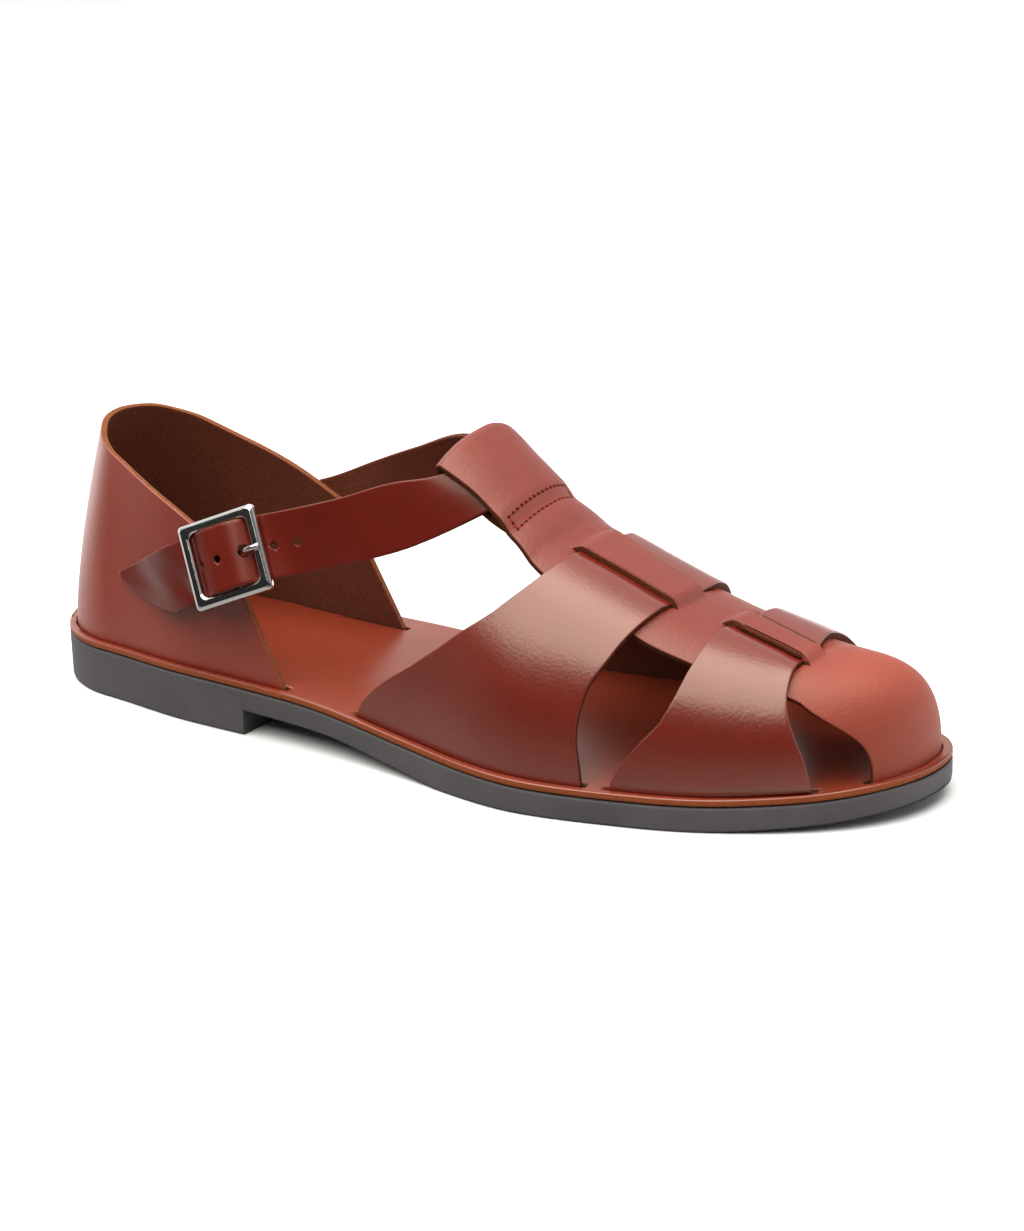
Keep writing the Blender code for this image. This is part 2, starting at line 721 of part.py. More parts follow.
# Heel counter
def heel_line(depth):
    """Line round the heel from the lateral wing to the medial one, evenly spaced."""
    first = HEEL_MARGIN + depth
    points = []
    for share in np.linspace(1, 0, 120):
        along = first + (COUNTER_LATERAL - first) * share**2
        points.append((along, leather_edge(along, LATERAL, depth)))
    for share in np.linspace(0, 1, 120)[1:]:
        along = first + (COUNTER_MEDIAL - first) * share**2
        points.append((along, leather_edge(along, MEDIAL, depth)))
    return np.array(points)


HEEL = heel_line(LEATHER / 2)
HEEL_REACH = np.concatenate([[0], np.cumsum(np.linalg.norm(np.diff(HEEL, axis=0), axis=1))])
HEEL_BACK = float(HEEL_REACH[119])


def heel_plan(part):
    """Point and inward direction on the counter's foot, part -1 to 1 round it."""
    if part < 0:
        reach = HEEL_BACK * (1 + part)
    else:
        reach = HEEL_BACK + (HEEL_REACH[-1] - HEEL_BACK) * part

    def at(distance):
        x = np.interp(distance, HEEL_REACH, HEEL[:, 0])
        y = np.interp(distance, HEEL_REACH, HEEL[:, 1])
        return Vector((float(x), float(y)))

    tangent = (at(reach + 2) - at(reach - 2)).normalized()
    return at(reach), Vector((-tangent.y, tangent.x)) * -1


def counter_at(part, height):
    """Middle of the counter's leather, height 0 at its foot and 1 at its top edge."""
    shown = part * (1 - WING_CUT * height)
    point, inward = heel_plan(shown)
    rise = column(COUNTER, "rise", abs(part)) * height
    lean = column(COUNTER, "lean", abs(shown)) * (rise / 60.0) ** 1.4
    plan = point + inward * lean
    return Vector((plan.x, plan.y, topsole_top(point.x) + rise))


COUNTER_COLUMNS = 40
COUNTER_ROWS = 8


def counter_point(i, j):
    part = -1 + 2 * i / COUNTER_COLUMNS
    if j == 0:
        return counter_at(part, 0.0) - Vector((0, 0, FOOT))
    return counter_at(part, (j - 1) / (COUNTER_ROWS - 1))


heel_counter = sheet("heel_counter", COUNTER_COLUMNS, COUNTER_ROWS, counter_point, LEATHER)
line = []
for part in np.linspace(-1, 1, 49):
    point, inward = heel_plan(float(part))
    line.append((point.x, point.y))
before = Vector(line[0]) - Vector(line[1])
after = Vector(line[-1]) - Vector(line[-2])
line.insert(0, tuple(Vector(line[0]) + before.normalized() * SLOT_SPARE))
line.append(tuple(Vector(line[-1]) + after.normalized() * SLOT_SPARE))
slot("slot_counter", line)


def counter_outside(along, z, side, lift):
    """Point off the outer face of the counter's side, by its place and height."""
    low, high = 0.05, 1.0
    for _ in range(40):
        part = (low + high) / 2
        point, inward = heel_plan(side * part)
        rise = z - topsole_top(point.x)
        lean = column(COUNTER, "lean", part) * max(rise / 60.0, 0) ** 1.4
        if (point + inward * lean).x < along:
            low = part
        else:
            high = part
    plan = point + inward * (lean - LEATHER / 2 - lift)
    return Vector((along, plan.y, z))


# Buckle, in its own frame: X along the strap, Y up across it, Z off the foot
along_axis = Vector(BUCKLE_ALONG).normalized()
off_axis = along_axis.cross(Vector(BUCKLE_UP)).normalized()
up_axis = off_axis.cross(along_axis)
axes = Matrix((along_axis, up_axis, off_axis)).transposed().to_4x4()
buckle_frame_at = Matrix.Translation(set_down(BUCKLE_AT)) @ axes


def buckle_point(along, up, off):
    centre = Vector(BUCKLE_AT)
    return centre + along_axis * along + up_axis * up + off_axis * off


def box(name, long, high, thick, corner):
    bm = bmesh.new()
    bmesh.ops.create_cube(bm, size=1)
    bmesh.ops.scale(bm, vec=Vector((long, high, thick)) * MM, verts=bm.verts[:])
    upright = []
    for item in bm.edges:
        run = item.verts[1].co - item.verts[0].co
        if abs(run.z) > 0.9 * thick * MM:
            upright.append(item)
    bmesh.ops.bevel(bm, geom=upright, offset=corner * MM, segments=3, profile=0.5, affect="EDGES")
    obj = add_object(name, bm)
    obj.matrix_world = buckle_frame_at
    return obj


buckle_frame = box("buckle_frame", FRAME_LONG, FRAME_HIGH, FRAME_THICK, FRAME_CORNER)
window = box(
    "frame_window",
    FRAME_LONG - 2 * FRAME_BAR,
    FRAME_HIGH - 2 * FRAME_BAR,
    FRAME_THICK * 3,
    FRAME_CORNER,
)
combine(buckle_frame, window, "DIFFERENCE")
rounding = buckle_frame.modifiers.new("edges", "BEVEL")
rounding.width = FRAME_EDGE * MM
rounding.segments = 2
rounding.limit_method = "ANGLE"
rounding.angle_limit = math.radians(60)
post = FRAME_HIGH / 2 - FRAME_BAR / 2
bar_path = [
    Vector((0, -post, -0.2)),
    Vector((0, -post, BAR_BEND - BAR_DROP)),
    Vector((0, 0.3 * BAR_BEND - post, 0.3 * BAR_BEND - BAR_DROP)),
    Vector((0, BAR_BEND - post, -BAR_DROP)),
    Vector((0, post - BAR_BEND, -BAR_DROP)),
    Vector((0, post - 0.3 * BAR_BEND, 0.3 * BAR_BEND - BAR_DROP)),
    Vector((0, post, BAR_BEND - BAR_DROP)),
    Vector((0, post, -0.2)),
]
centre_bar = tube("centre_bar", bar_path, BAR_RADIUS, 12)
centre_bar.matrix_world = buckle_frame_at
combine(buckle_frame, centre_bar, "UNION")

# Prong: hooked round the centre bar, up through the strap and on to the front bar
hook = BAR_RADIUS + GAP + PRONG_RADIUS
prong_path = []
for step in range(9):
    turn = math.radians(HOOK_FROM + (HOOK_TO - HOOK_FROM) * step / 8)
    prong_path.append(Vector((math.cos(turn), 0, math.sin(turn))) * hook + Vector((0, 0, -BAR_DROP)))
for spot in PRONG:
    prong_path.append(Vector((spot.along, 0, spot.height)))
buckle_prong = tube("buckle_prong", prong_path, PRONG_RADIUS, 10)
buckle_prong.matrix_world = buckle_frame_at


def spline(points, steps):
    """Points on a smooth curve through the given ones, a number of steps per span."""
    ends = [points[0] * 2 - points[1]] + points + [points[-1] * 2 - points[-2]]
    found = []
    for k in range(1, len(ends) - 2):
        before, start, end, after = ends[k - 1 : k + 3]
        span = (end - start).length
        leave = ((end - before) / max((end - before).length, 1e-6)) * span
        arrive = ((after - start) / max((after - start).length, 1e-6)) * span
        for step in range(steps):
            t = step / steps
            found.append(
                start * ((1 + 2 * t) * (1 - t) ** 2)
                + leave * (t * (1 - t) ** 2)
                + end * (t * t * (3 - 2 * t))
                + arrive * (t * t * (t - 1))
            )
    found.append(points[-1])
    return found


# Chape: strip sewn to the counter, folded round the centre bar and back
def chape_sewn_row(sewn, lift):
    row = []
    for i in range(CHAPE_COLUMNS + 1):
        up = CHAPE_HALF * (2 * i / CHAPE_COLUMNS - 1)
        place_x = sewn.x - CHAPE_LEAN * up
        place_z = sewn.z + math.sqrt(1 - CHAPE_LEAN**2) * up
        row.append(counter_outside(place_x, place_z, LATERAL, lift))
    return row


def chape_bar_row(along, off):
    row = []
    for i in range(CHAPE_COLUMNS + 1):
        up = CHAPE_HALF * (2 * i / CHAPE_COLUMNS - 1)
        row.append(buckle_point(along, up, off))
    return row


wrap = BAR_RADIUS + GAP + CHAPE / 2
chape_rows = [chape_sewn_row(sewn, CHAPE_REST) for sewn in CHAPE_SEWN]
chape_rows.append(chape_bar_row(-7.0, -BAR_DROP - wrap - 1.2))
chape_rows.append(chape_bar_row(-3.0, -BAR_DROP - wrap - 0.3))
first_wrap = len(chape_rows)
for step in range(7):
    turn = math.pi * (step / 6 - 0.5)
    chape_rows.append(chape_bar_row(wrap * math.cos(turn), wrap * math.sin(turn) - BAR_DROP))
last_wrap = len(chape_rows)
chape_rows.append(chape_bar_row(-3.0, -BAR_DROP + wrap - 0.5))
chape_rows.append(chape_bar_row(-7.0, -BAR_DROP + wrap - 2.4))
upper_rest = CHAPE_REST + CHAPE + GAP
for sewn in reversed(CHAPE_SEWN[1:]):
    chape_rows.append(chape_sewn_row(sewn, upper_rest))

bm, place = grid(CHAPE_COLUMNS, len(chape_rows) - 1)
opened = []
for face in bm.faces:
    spots = [place[vertex] for vertex in face.verts]
    in_middle = max(i for i, j in spots) == CHAPE_COLUMNS // 2 + 1
    at_wrap = all(first_wrap - 1 <= j <= last_wrap for i, j in spots)
    if in_middle and at_wrap and min(i for i, j in spots) == CHAPE_COLUMNS // 2:
        opened.append(face)
for vertex, (i, j) in place.items():
    vertex.co = set_down(chape_rows[j][i])
bmesh.ops.delete(bm, geom=opened, context="FACES")
buckle_chape = add_object("buckle_chape", bm)
thicken(buckle_chape, CHAPE)

# Ankle strap: sewn end inside, over the foot, through the loop and the buckle
STRAP_COLUMNS = 6
STRAP_STEPS = 3
strap_shares = [-1 + 2 * i / STRAP_COLUMNS for i in range(STRAP_COLUMNS + 1)]


def strap_row(middle, down):
    down = Vector(down).normalized()
    return [Vector(middle) + down * (STRAP_HALF * share) for share in strap_shares]


def anchor_row(along):
    row = []
    upright = math.sqrt(1 - ANCHOR_LEAN**2)
    for share in strap_shares:
        reach = STRAP_HALF * share
        x = along + ANCHOR_LEAN * reach
        z = ANCHOR_HEIGHT + ANCHOR_SLOPE * (along - ANCHOR_FRONT) - upright * reach
        row.append(counter_outside(x, z, MEDIAL, STRAP / 2 + GAP))
    return row


def loop_row(out):
    y = strip_across(LOOP_STRAP, 0) + out
    lift = LEATHER + GAP + SLACK + STRAP / 2
    front = LOOP_STRAP + STRAP_SPREAD
    rear = LOOP_STRAP - STRAP_SPREAD + LOOP_SKEW * (1 - out / LOOP_CROSSING[0]) / 2
    return [on_form(rear + (front - rear) * (share + 1) / 2, y, lift) for share in strap_shares]


def tail_end(share):
    """Length of the tail beyond the buckle, cut back towards its lower edge."""
    lower = (share + 1) / 2
    corner = TAIL_CORNER * max(lower - 0.8, 0) / 0.2
    tip = TAIL_TIP * max(0.15 - lower, 0) / 0.15
    return TAIL_LONG - TAIL_CUT * lower - corner - tip


def tail_row(part):
    row = []
    start = buckle_point(BUCKLE_PASS[-1].along, 0, 0)
    rise = math.sqrt(1 - TAIL_SLOPE**2)
    for share in strap_shares:
        reach = tail_end(share) * part
        x = start.x - rise * reach + TAIL_SLOPE * STRAP_HALF * share
        z = start.z - TAIL_SLOPE * reach - rise * STRAP_HALF * share
        lift = TAIL_LIFT + (TAIL_REST - TAIL_LIFT) * ease((reach - TAIL_LEVEL) / TAIL_FALL)
        row.append(counter_outside(x, z, LATERAL, lift))
    return row


strap_rows = [anchor_row(along) for along in np.linspace(ANCHOR_END, ANCHOR_FRONT, 4)]
for run in reversed(MEDIAL_RUN):
    strap_rows.append(strap_row((run.x, run.y, run.z), (run.down_x, run.down_y, run.down_z)))
for out in LOOP_CROSSING:
    strap_rows.append(loop_row(out))
for run in LATERAL_RUN:
    strap_rows.append(strap_row((run.x, run.y, run.z), (run.down_x, run.down_y, run.down_z)))
for spot in BUCKLE_PASS:
    strap_rows.append([buckle_point(spot.along, spot.up - STRAP_HALF * share, spot.height) for share in strap_shares])
for part in (0.25, 0.5, 0.75, 1.0):
    strap_rows.append(tail_row(part))

lines = []
for i in range(STRAP_COLUMNS + 1):
    lines.append(spline([row[i] for row in strap_rows], STRAP_STEPS))
ankle_strap = sheet(
    "ankle_strap",
    STRAP_COLUMNS,
    len(lines[0]) - 1,
    lambda i, j: lines[i][j],
    STRAP,
)


hole_path = [Vector((PRONG_HOLE_AT, 0, off)) for off in (-3.0, 5.0)]
prong_hole = tube("prong_hole", hole_path, PRONG_HOLE_RADIUS, 12)
prong_hole.matrix_world = buckle_frame_at
combine(ankle_strap, prong_hole, "DIFFERENCE")
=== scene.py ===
"""Looks of the leather fisherman sandal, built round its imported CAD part.

Shapes are worked out in millimetres with the back of the heel at along = 0 and
the toe at along = LENGTH, then set down in metres in the part's own frame.
+X points to the toe, +Y to the inner (medial) side of the foot and +Z up.
"""

import math
from bisect import bisect_right
from collections import namedtuple

import bmesh
import bpy
import numpy as np
from mathutils import Matrix, Vector


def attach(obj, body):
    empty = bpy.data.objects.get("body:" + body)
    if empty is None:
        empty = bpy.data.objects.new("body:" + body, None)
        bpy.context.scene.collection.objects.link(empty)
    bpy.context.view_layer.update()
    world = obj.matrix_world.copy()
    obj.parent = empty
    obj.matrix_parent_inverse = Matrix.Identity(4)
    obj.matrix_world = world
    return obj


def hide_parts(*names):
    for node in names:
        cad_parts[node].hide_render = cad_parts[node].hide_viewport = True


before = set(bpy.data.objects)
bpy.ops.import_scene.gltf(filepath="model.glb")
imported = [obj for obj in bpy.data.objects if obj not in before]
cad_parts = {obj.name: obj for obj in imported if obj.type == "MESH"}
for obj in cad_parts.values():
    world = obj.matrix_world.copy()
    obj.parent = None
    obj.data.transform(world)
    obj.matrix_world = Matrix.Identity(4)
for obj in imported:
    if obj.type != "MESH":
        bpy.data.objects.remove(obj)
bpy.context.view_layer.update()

MM = 0.001
LATERAL = -1
MEDIAL = 1
SIDE_NAMES = {LATERAL: "lateral", MEDIAL: "medial"}


def named_rows(columns, *rows):
    """Rows of numbers with named columns."""
    row_of = namedtuple("row_of", columns)
    return [row_of(*row) for row in rows]


# Overall sizes in millimetres
LENGTH = 285.0
MIDDLE = 0.24  # sideways middle of the sole
HEEL_ROUND = 33.0
TOE_ROUND = 69.0
TOE_SQUARENESS = 2.25
TOE_SWING = 13.0
SWING_FROM = 150.0
SWING_POWER = 1.5
GAP = 0.3  # clearance between pieces that touch
TOPSOLE = 2.0
LEATHER = 2.0
FOOT = TOPSOLE - GAP  # how far a strap foot goes down into its slot
SLOT_SPARE = 1.5  # by which a slot is longer than its strap foot, at each end
SLOT_CUTTER = 5.0  # how far a slot's cutter reaches above and below the topsole's top
BAND_SLOT_POINTS = 31
TOE_SLOT_POINTS = 45
TOE_SLOT_SPARE = 3.0  # degrees
COUNTER_SLOT_POINTS = 97
LAYER = LEATHER + 0.05  # rise of one leather layer that lies on another
HEEL_BREAST = 90.0
BREAST_STEP = 0.4
BREAST_CLEAR = 0.6  # no other station of the sole lies this near to the breast
CUT_EDGE = 0.34  # rounding of cut leather edges
FOOT_AXIS = 25.0  # height of a line inside the shoe, which leather faces away from

# Half-widths of the sole, and how far the leather stands inside its edge
OUTLINE = named_rows(
    "along lateral medial",
    (0, 32.0, 33.5),
    (30, 33.5, 33.0),
    (70, 38.5, 32.2),
    (110, 39.5, 33.8),
    (150, 44.0, 39.0),
    (190, 51.0, 44.0),
    (225, 47.0, 44.2),
    (255, 42.5, 40.5),
    (285, 39.5, 35.5),
)
MARGINS = named_rows(
    "along lateral medial",
    (0, 2.5, 2.5),
    (50, 2.5, 4.0),
    (104, 2.5, 8.0),
    (131, 2.5, 7.0),
    (170, 2.5, 4.5),
    (210, 2.5, 3.0),
    (285, 2.5, 3.0),
)
HEEL_MARGIN = 2.5
TOE_MARGIN = 2.8

# Heights of the rubber unit: flat heel and forefoot, hollow waist, raised toe
SOLE_TOP = named_rows(
    "along height",
    (0, 14.4),
    (65, 14.4),
    (105, 13.4),
    (170, 7.9),
    (210, 7.0),
    (235, 7.0),
    (262, 8.2),
    (285, 10.6),
)
SOLE_BOTTOM = named_rows(
    "along height",
    (90, 7.4),
    (120, 6.0),
    (145, 2.6),
    (165, 0.0),
    (235, 0.0),
    (262, 1.6),
    (285, 4.6),
)
SOLE_ROUND = 0.9
TOPSOLE_ROUND = 0.55
SOLE_STATIONS = 221
SOLE_COLUMNS = 40
TOPSOLE_COLUMNS = 48

# The foot form that the straps lie on: crown height above the topsole and
# where the crown lies between the two sides
FORM = named_rows(
    "along crown ridge",
    (120, 82.0, 0.66),
    (144, 71.6, 0.65),
    (155, 65.0, 0.59),
    (163, 59.4, 0.575),
    (183, 51.0, 0.57),
    (200, 45.0, 0.50),
    (215, 39.4, 0.45),
    (228, 35.0, 0.42),
    (240, 31.6, 0.43),
    (252, 28.5, 0.43),
    (262, 27.4, 0.45),
    (285, 27.0, 0.49),
)
LATERAL_POWER = 2.6
MEDIAL_POWER = 2.1
DOME_FROM = 250.0
DOME_POWER = 3.2
TIP_CLEAR = 0.02  # how far behind its tip the form ends
FOOT_BACK = 0.05  # how far behind a strap foot its outward direction is taken
FORM_STEP = 0.4  # steps on the form for its directions, along it and in radians round it
FORM_TURN = 0.012

# Centre strip: sideways places of its two edges and of the slits inside them
STRIP = named_rows(
    "along lateral slit_lateral slit_medial medial",
    (140, -16.4, -9.5, 9.3, 15.6),
    (160, -17.2, -9.0, 9.0, 12.9),
    (170, -18.4, -8.6, 9.6, 15.0),
    (183, -21.6, -8.2, 9.8, 19.6),
    (216, -24.4, -8.6, 5.8, 21.0),
    (228, -23.0, -3.8, 7.4, 22.0),
    (244, -18.6, -3.8, 5.8, 24.0),
    (256, -15.4, -5.0, 4.0, 27.0),
    (285, -9.0, 5.0, 21.0, 35.0),
)
SLITS = named_rows(
    "rear front",
    (182.5, 217.5),
    (226.5, 255.5),
)
SLIT_SHARE = 0.5  # where the slits lie between the strip's middle (0) and its edges (1)
SLIT_NEAR = 0.001
SLIT_OPENING = 0.5
PRESS_POWER = 4  # how steeply the strip's sides are pressed down beside a bridge
BRIDGE_RAMP = 3.0
SLIT_SHUT = 0.6  # how far a slit stays shut at its ends
TOE_CAP_FROM = 257.0
TOE_CAP_LATERAL = -28.0  # degrees round the toe from its tip
TOE_CAP_MEDIAL = 30.0
TOE_CAP_BOW = 1.8
STRIP_COLUMNS = 44

# Bands over the foot: the rear and front edges at each part of the turn from
# the foot of the band (0) to the crown of the form (1)
REAR_BAND = named_rows(
    "turn rear front",
    (0.0, 131.0, 207.0),
    (0.15, 153.0, 205.5),
    (0.3, 165.5, 206.5),
    (0.5, 177.5, 210.3),
    (0.7, 183.9, 213.0),
    (0.85, 185.6, 214.3),
    (1.0, 185.8, 214.6),
)
FRONT_BAND = named_rows(
    "turn rear front",
    (0.0, 214.4, 262.0),
    (0.15, 221.5, 260.0),
    (0.3, 227.0, 257.2),
    (0.5, 229.3, 254.2),
    (0.7, 229.9, 252.8),
    (0.85, 229.9, 252.2),
    (1.0, 229.9, 252.0),
)
MEDIAL_DRAWN = 6.0  # how far the front band's front edge is drawn back on the medial side
BAND_ROWS = 122
BAND_COLUMNS = 36
DIVE_LATERAL = 8.0  # over which a band goes from on top of the strip to under its bridge
DIVE_MEDIAL = 13.0
DIVE_INSIDE = 2.0  # how much of that lies under the lateral edge of the bridge
BAND_RISE = 17.0  # over which a band climbs from the form on to the strip
BAND_PAST = 1.0  # how far past the strip's edge that climb ends

# Loop at the top of the centre strip, round the ankle strap
STRAP = 1.9
SLACK = 0.45  # spare room under the strap in its loop
STRAP_HALF = 9.3
LOOP_STRAP = 153.15  # where the strap crosses the centre strip
STRAP_SPREAD = 7.95  # half its width, measured along the shoe
LOOP_FOLD = 145.5
LOOP_SKEW = 2.2  # how much further forward the loop lies at its lateral edge
SKEW_FADE = 14.0
FLAP_NARROWS = 147.0  # from here its sewn end gets narrower
FLAP_END = 0.84
LOOP_SEWN_END = 169.5
FOLD_STEPS = 16
TOE_STEPS = 44
ROW_STEP = 1.1  # distance between rows of the strip
UNDER = LEATHER / 2
STITCHED = UNDER + LEATHER + GAP
OVER = UNDER + LEATHER + STRAP + SLACK + 3 * GAP
LOOP_TOP = named_rows(
    "along lift",
    (146.0, OVER),
    (155.0, OVER),
    (159.8, OVER),
    (162.6, OVER - 0.2),
    (165.4, OVER - 1.3),
    (168.2, STITCHED + 0.3),
    (171.0, STITCHED),
    (174.4, STITCHED - 0.7),
    (178.2, UNDER + 0.5),
    (182.5, UNDER),
)

# Heel counter: rise of its top edge above the topsole from the back (0) to the
# tip of each wing (1), and how far it leans in at the top
COUNTER = named_rows(
    "part rise lean",
    (0.0, 63.5, 12.6),
    (0.2, 62.5, 11.4),
    (0.4, 58.7, 7.6),
    (0.6, 52.3, 4.4),
    (0.8, 45.7, 2.9),
    (1.0, 37.0, 2.2),
)
COUNTER_LATERAL = 103.5
COUNTER_MEDIAL = 102.5
WING_CUT = 0.17  # share of the wing lost between the foot and the top edge
LEAN_HEIGHT = 60.0  # rise where the counter leans in by the whole lean
LEAN_POWER = 1.4
HEEL_POINTS = 120  # on each side of the line round the heel
HEEL_STEP = 2.0  # step along that line for its direction
COUNTER_COLUMNS = 180
COUNTER_ROWS = 44
HALVING_FROM = 0.05  # a place on the counter is found by halving from here to the wing's tip
HALVINGS = 40

# Buckle: its middle, the way the strap runs through it and the way up across it
BUCKLE_AT = (88.75, -40.85, 53.85)
BUCKLE_ALONG = (0.893, 0.280, 0.352)
BUCKLE_UP = (-0.415, 0.209, 0.886)
FRAME_LONG = 24.8
FRAME_HIGH = 24.8
FRAME_BAR = 2.95
CORNER_STEPS = 8
SIDE_STEPS = 6
BAR_RADIUS = 0.9
BAR_DROP = 2.8  # how far the centre bar lies below the middle of the frame
BAR_BEND = 1.0
BEND_CUT = 0.3  # share of the bend that is left at its middle
POST_TOP = -0.2  # where the bar's ends stop inside the frame
BAR_SIDES = 16
PRONG_SIDES = 20
PRONG_STEPS = 4
PRONG_RADIUS = 0.8
CHAPE = 1.4
CHAPE_HALF = 8.6

# Ankle strap inside the buckle: position along it and height off the frame
BUCKLE_PASS = named_rows(
    "along up height",
    (12.4, -0.3, -2.9),
    (9.4, 0.0, -2.4),
    (6.6, 0.0, 0.3),
    (3.8, 0.0, 1.6),
    (0.0, 0.0, 1.6),
    (-3.6, 0.0, 1.4),
    (-6.5, 0.0, 0.0),
    (-9.2, 0.0, -2.4),
    (-11.4, 0.0, -2.9),
)

# Prong from the centre bar to its tip, in the same way
PRONG = named_rows(
    "along height",
    (2.0, -0.7),
    (4.2, -0.5),
    (6.1, 0.6),
    (8.0, 1.95),
    (9.8, 2.3),
    (11.6, 2.15),
)
HOOK_FROM = -50  # degrees round the centre bar where the prong's hook starts
HOOK_TO = -270  # and where it leaves the bar, on top
HOOK_STEPS = 12
PRONG_HOLE_AT = 6.4
PRONG_HOLE_RADIUS = 1.9
STRAP_HOLES = (-6.8, -1.3, 14.7, 22.2)
STRAP_HOLE_RADIUS = 1.15
HOLE_ASIDE = 0.07  # how far the holes lie off the middle of the strap
HOLE_REACH = 4.0  # how far a hole's cutter reaches to each side
HOLE_SIDES = 20

# Free tail of the strap behind the buckle, and the chape sewn to the counter
TAIL_LONG = 41.0
TAIL_CUT = 20.0  # how much shorter its lower edge is
TAIL_CORNER = 5.0
TAIL_CORNER_FROM = 0.8  # share of the width where the lower corner's cut starts
TAIL_TIP = 3.0
TAIL_TIP_TO = 0.15
TAIL_PARTS = (0.25, 0.5, 0.75, 1.0)
TAIL_SLOPE = 0.47
TAIL_LIFT = 5.3
TAIL_REST = 1.4
TAIL_LEVEL = 9.0  # how far behind the buckle it stays up
TAIL_FALL = 22.0
CHAPE_SEWN = named_rows(
    "x z",
    (61.0, 42.4),
    (67.5, 45.2),
    (73.5, 47.8),
)
CHAPE_LEAN = 0.38
CHAPE_COLUMNS = 21
CHAPE_STEPS = 3
CHAPE_REST = CHAPE / 2 + GAP
CHAPE_SLOT = (9, 12)  # columns between which it is open for the prong
CHAPE_TURNS = 6

# The chape's way to the centre bar below it and back above it: place along the
# buckle, and how far it sags
CHAPE_BELOW = named_rows(
    "along sag",
    (-7.0, 1.2),
    (-3.0, 0.3),
)
CHAPE_ABOVE = named_rows(
    "along sag",
    (-3.0, 0.5),
    (-7.0, 2.4),
)

# Free run of the ankle strap: middle of the strap and its downhill direction
LATERAL_RUN = named_rows(
    "x y z down_x down_y down_z",
    (139.0, -24.2, 69.2, 0.47, -0.08, -0.88),
    (125.0, -28.4, 64.2, 0.37, -0.08, -0.925),
    (111.0, -31.2, 60.0, 0.35, 0.0, -0.937),
)
MEDIAL_RUN = named_rows(
    "x y z down_x down_y down_z",
    (133.0, 24.5, 72.9, 0.62, 0.25, -0.74),
    (112.0, 27.5, 64.5, 0.45, 0.15, -0.88),
    (96.0, 29.0, 58.0, 0.38, 0.06, -0.92),
)
ANCHOR_FRONT = 82.0
ANCHOR_END = 58.0
ANCHOR_HEIGHT = 52.0
ANCHOR_SLOPE = 0.36
ANCHOR_LEAN = 0.34
ANCHOR_ROWS = 4
LOOP_CROSSING = (16.0, 7.0, -1.0, -11.0, -16.0)  # rows of the strap across its loop
STRAP_COLUMNS = 18
STRAP_STEPS = 9

# Stitching: pitch of the stitches, thread, and dark discs of painted shade at the needle holes
STITCH_PITCH = 2.2
STITCH_LONG = 1.5
STITCH_WIDE = 0.36
STITCH_RISE = 0.16
NEEDLE_SHADE_RADIUS = 0.55
NEEDLE_SHADE_RISE = 0.06
STITCH_STEPS = 6
NEEDLE_STEPS = 5
LOOP_ROWS_AT = (164.6, 168.4)  # the two long rows across the strip
LOOP_ROW_ENDS = (-0.88, 0.74)  # how far they reach towards the strip's edges
ANCHOR_ROWS_AT = (61.5, 71.5)
ANCHOR_ROW_ENDS = (-0.8, 0.8)
POINTS_ACROSS = 21  # points of a row before it is divided into stitches
LOOP_POINTS_ALONG = 5
ANCHOR_POINTS_ALONG = 9
STEP_ALONG = 0.5  # steps for the direction that a stitch faces
LOOP_STEP_ASIDE = 0.03
ANCHOR_STEP_ASIDE = 0.05

CURVES = {}


def column(table, name, at):
    """Smooth curve through one column of a table, without overshoot."""
    key = (id(table), name)
    if key not in CURVES:
        xs = [float(row[0]) for row in table]
        ys = [float(getattr(row, name)) for row in table]
        step = np.diff(xs)
        slope = np.diff(ys) / step
        tangent = [slope[0]]
        for before, after in zip(slope[:-1], slope[1:]):
            steady = before * after > 0
            tangent.append(2 * before * after / (before + after) if steady else 0.0)
        tangent.append(slope[-1])
        CURVES[key] = (xs, ys, [float(value) for value in tangent])
    xs, ys, tangent = CURVES[key]
    at = min(max(at, xs[0]), xs[-1])
    i = min(max(bisect_right(xs, at) - 1, 0), len(xs) - 2)
    step = xs[i + 1] - xs[i]
    t = (at - xs[i]) / step
    start = (1 + 2 * t) * (1 - t) ** 2 * ys[i] + t * (1 - t) ** 2 * step * tangent[i]
    end = t * t * (3 - 2 * t) * ys[i + 1] + t * t * (t - 1) * step * tangent[i + 1]
    return start + end


def clamp(t):
    return min(max(t, 0.0), 1.0)


def ease(t):
    """0 to 1 with a flat start and end."""
    t = clamp(t)
    return t * t * (3 - 2 * t)


def edge(along, side, inset=0.0, heel_inset=0.0, toe_inset=0.0):
    """Sideways position of the sole's edge, or of a line inside it."""
    half = column(OUTLINE, SIDE_NAMES[side], along) - inset
    swing = TOE_SWING * clamp((along - SWING_FROM) / (LENGTH - SWING_FROM)) ** SWING_POWER
    back = clamp((HEEL_ROUND - along) / (HEEL_ROUND - heel_inset))
    ahead = clamp((along - LENGTH + TOE_ROUND) / (TOE_ROUND - toe_inset))
    heel = math.sqrt(1 - back * back)
    toe = (1 - ahead**TOE_SQUARENESS) ** (1 / TOE_SQUARENESS)
    return swing + side * half * heel * toe


def leather_edge(along, side, depth):
    """Line where leather stands, depth inside the outer face of the strap."""
    margin = column(MARGINS, SIDE_NAMES[side], along)
    return edge(along, side, margin + depth, HEEL_MARGIN + depth, TOE_MARGIN + depth)


def sole_top(along):
    return column(SOLE_TOP, "height", along)


def sole_bottom(along):
    if along < HEEL_BREAST:
        return 0.0
    return column(SOLE_BOTTOM, "height", along)


def topsole_top(along):
    return sole_top(along) + GAP + TOPSOLE


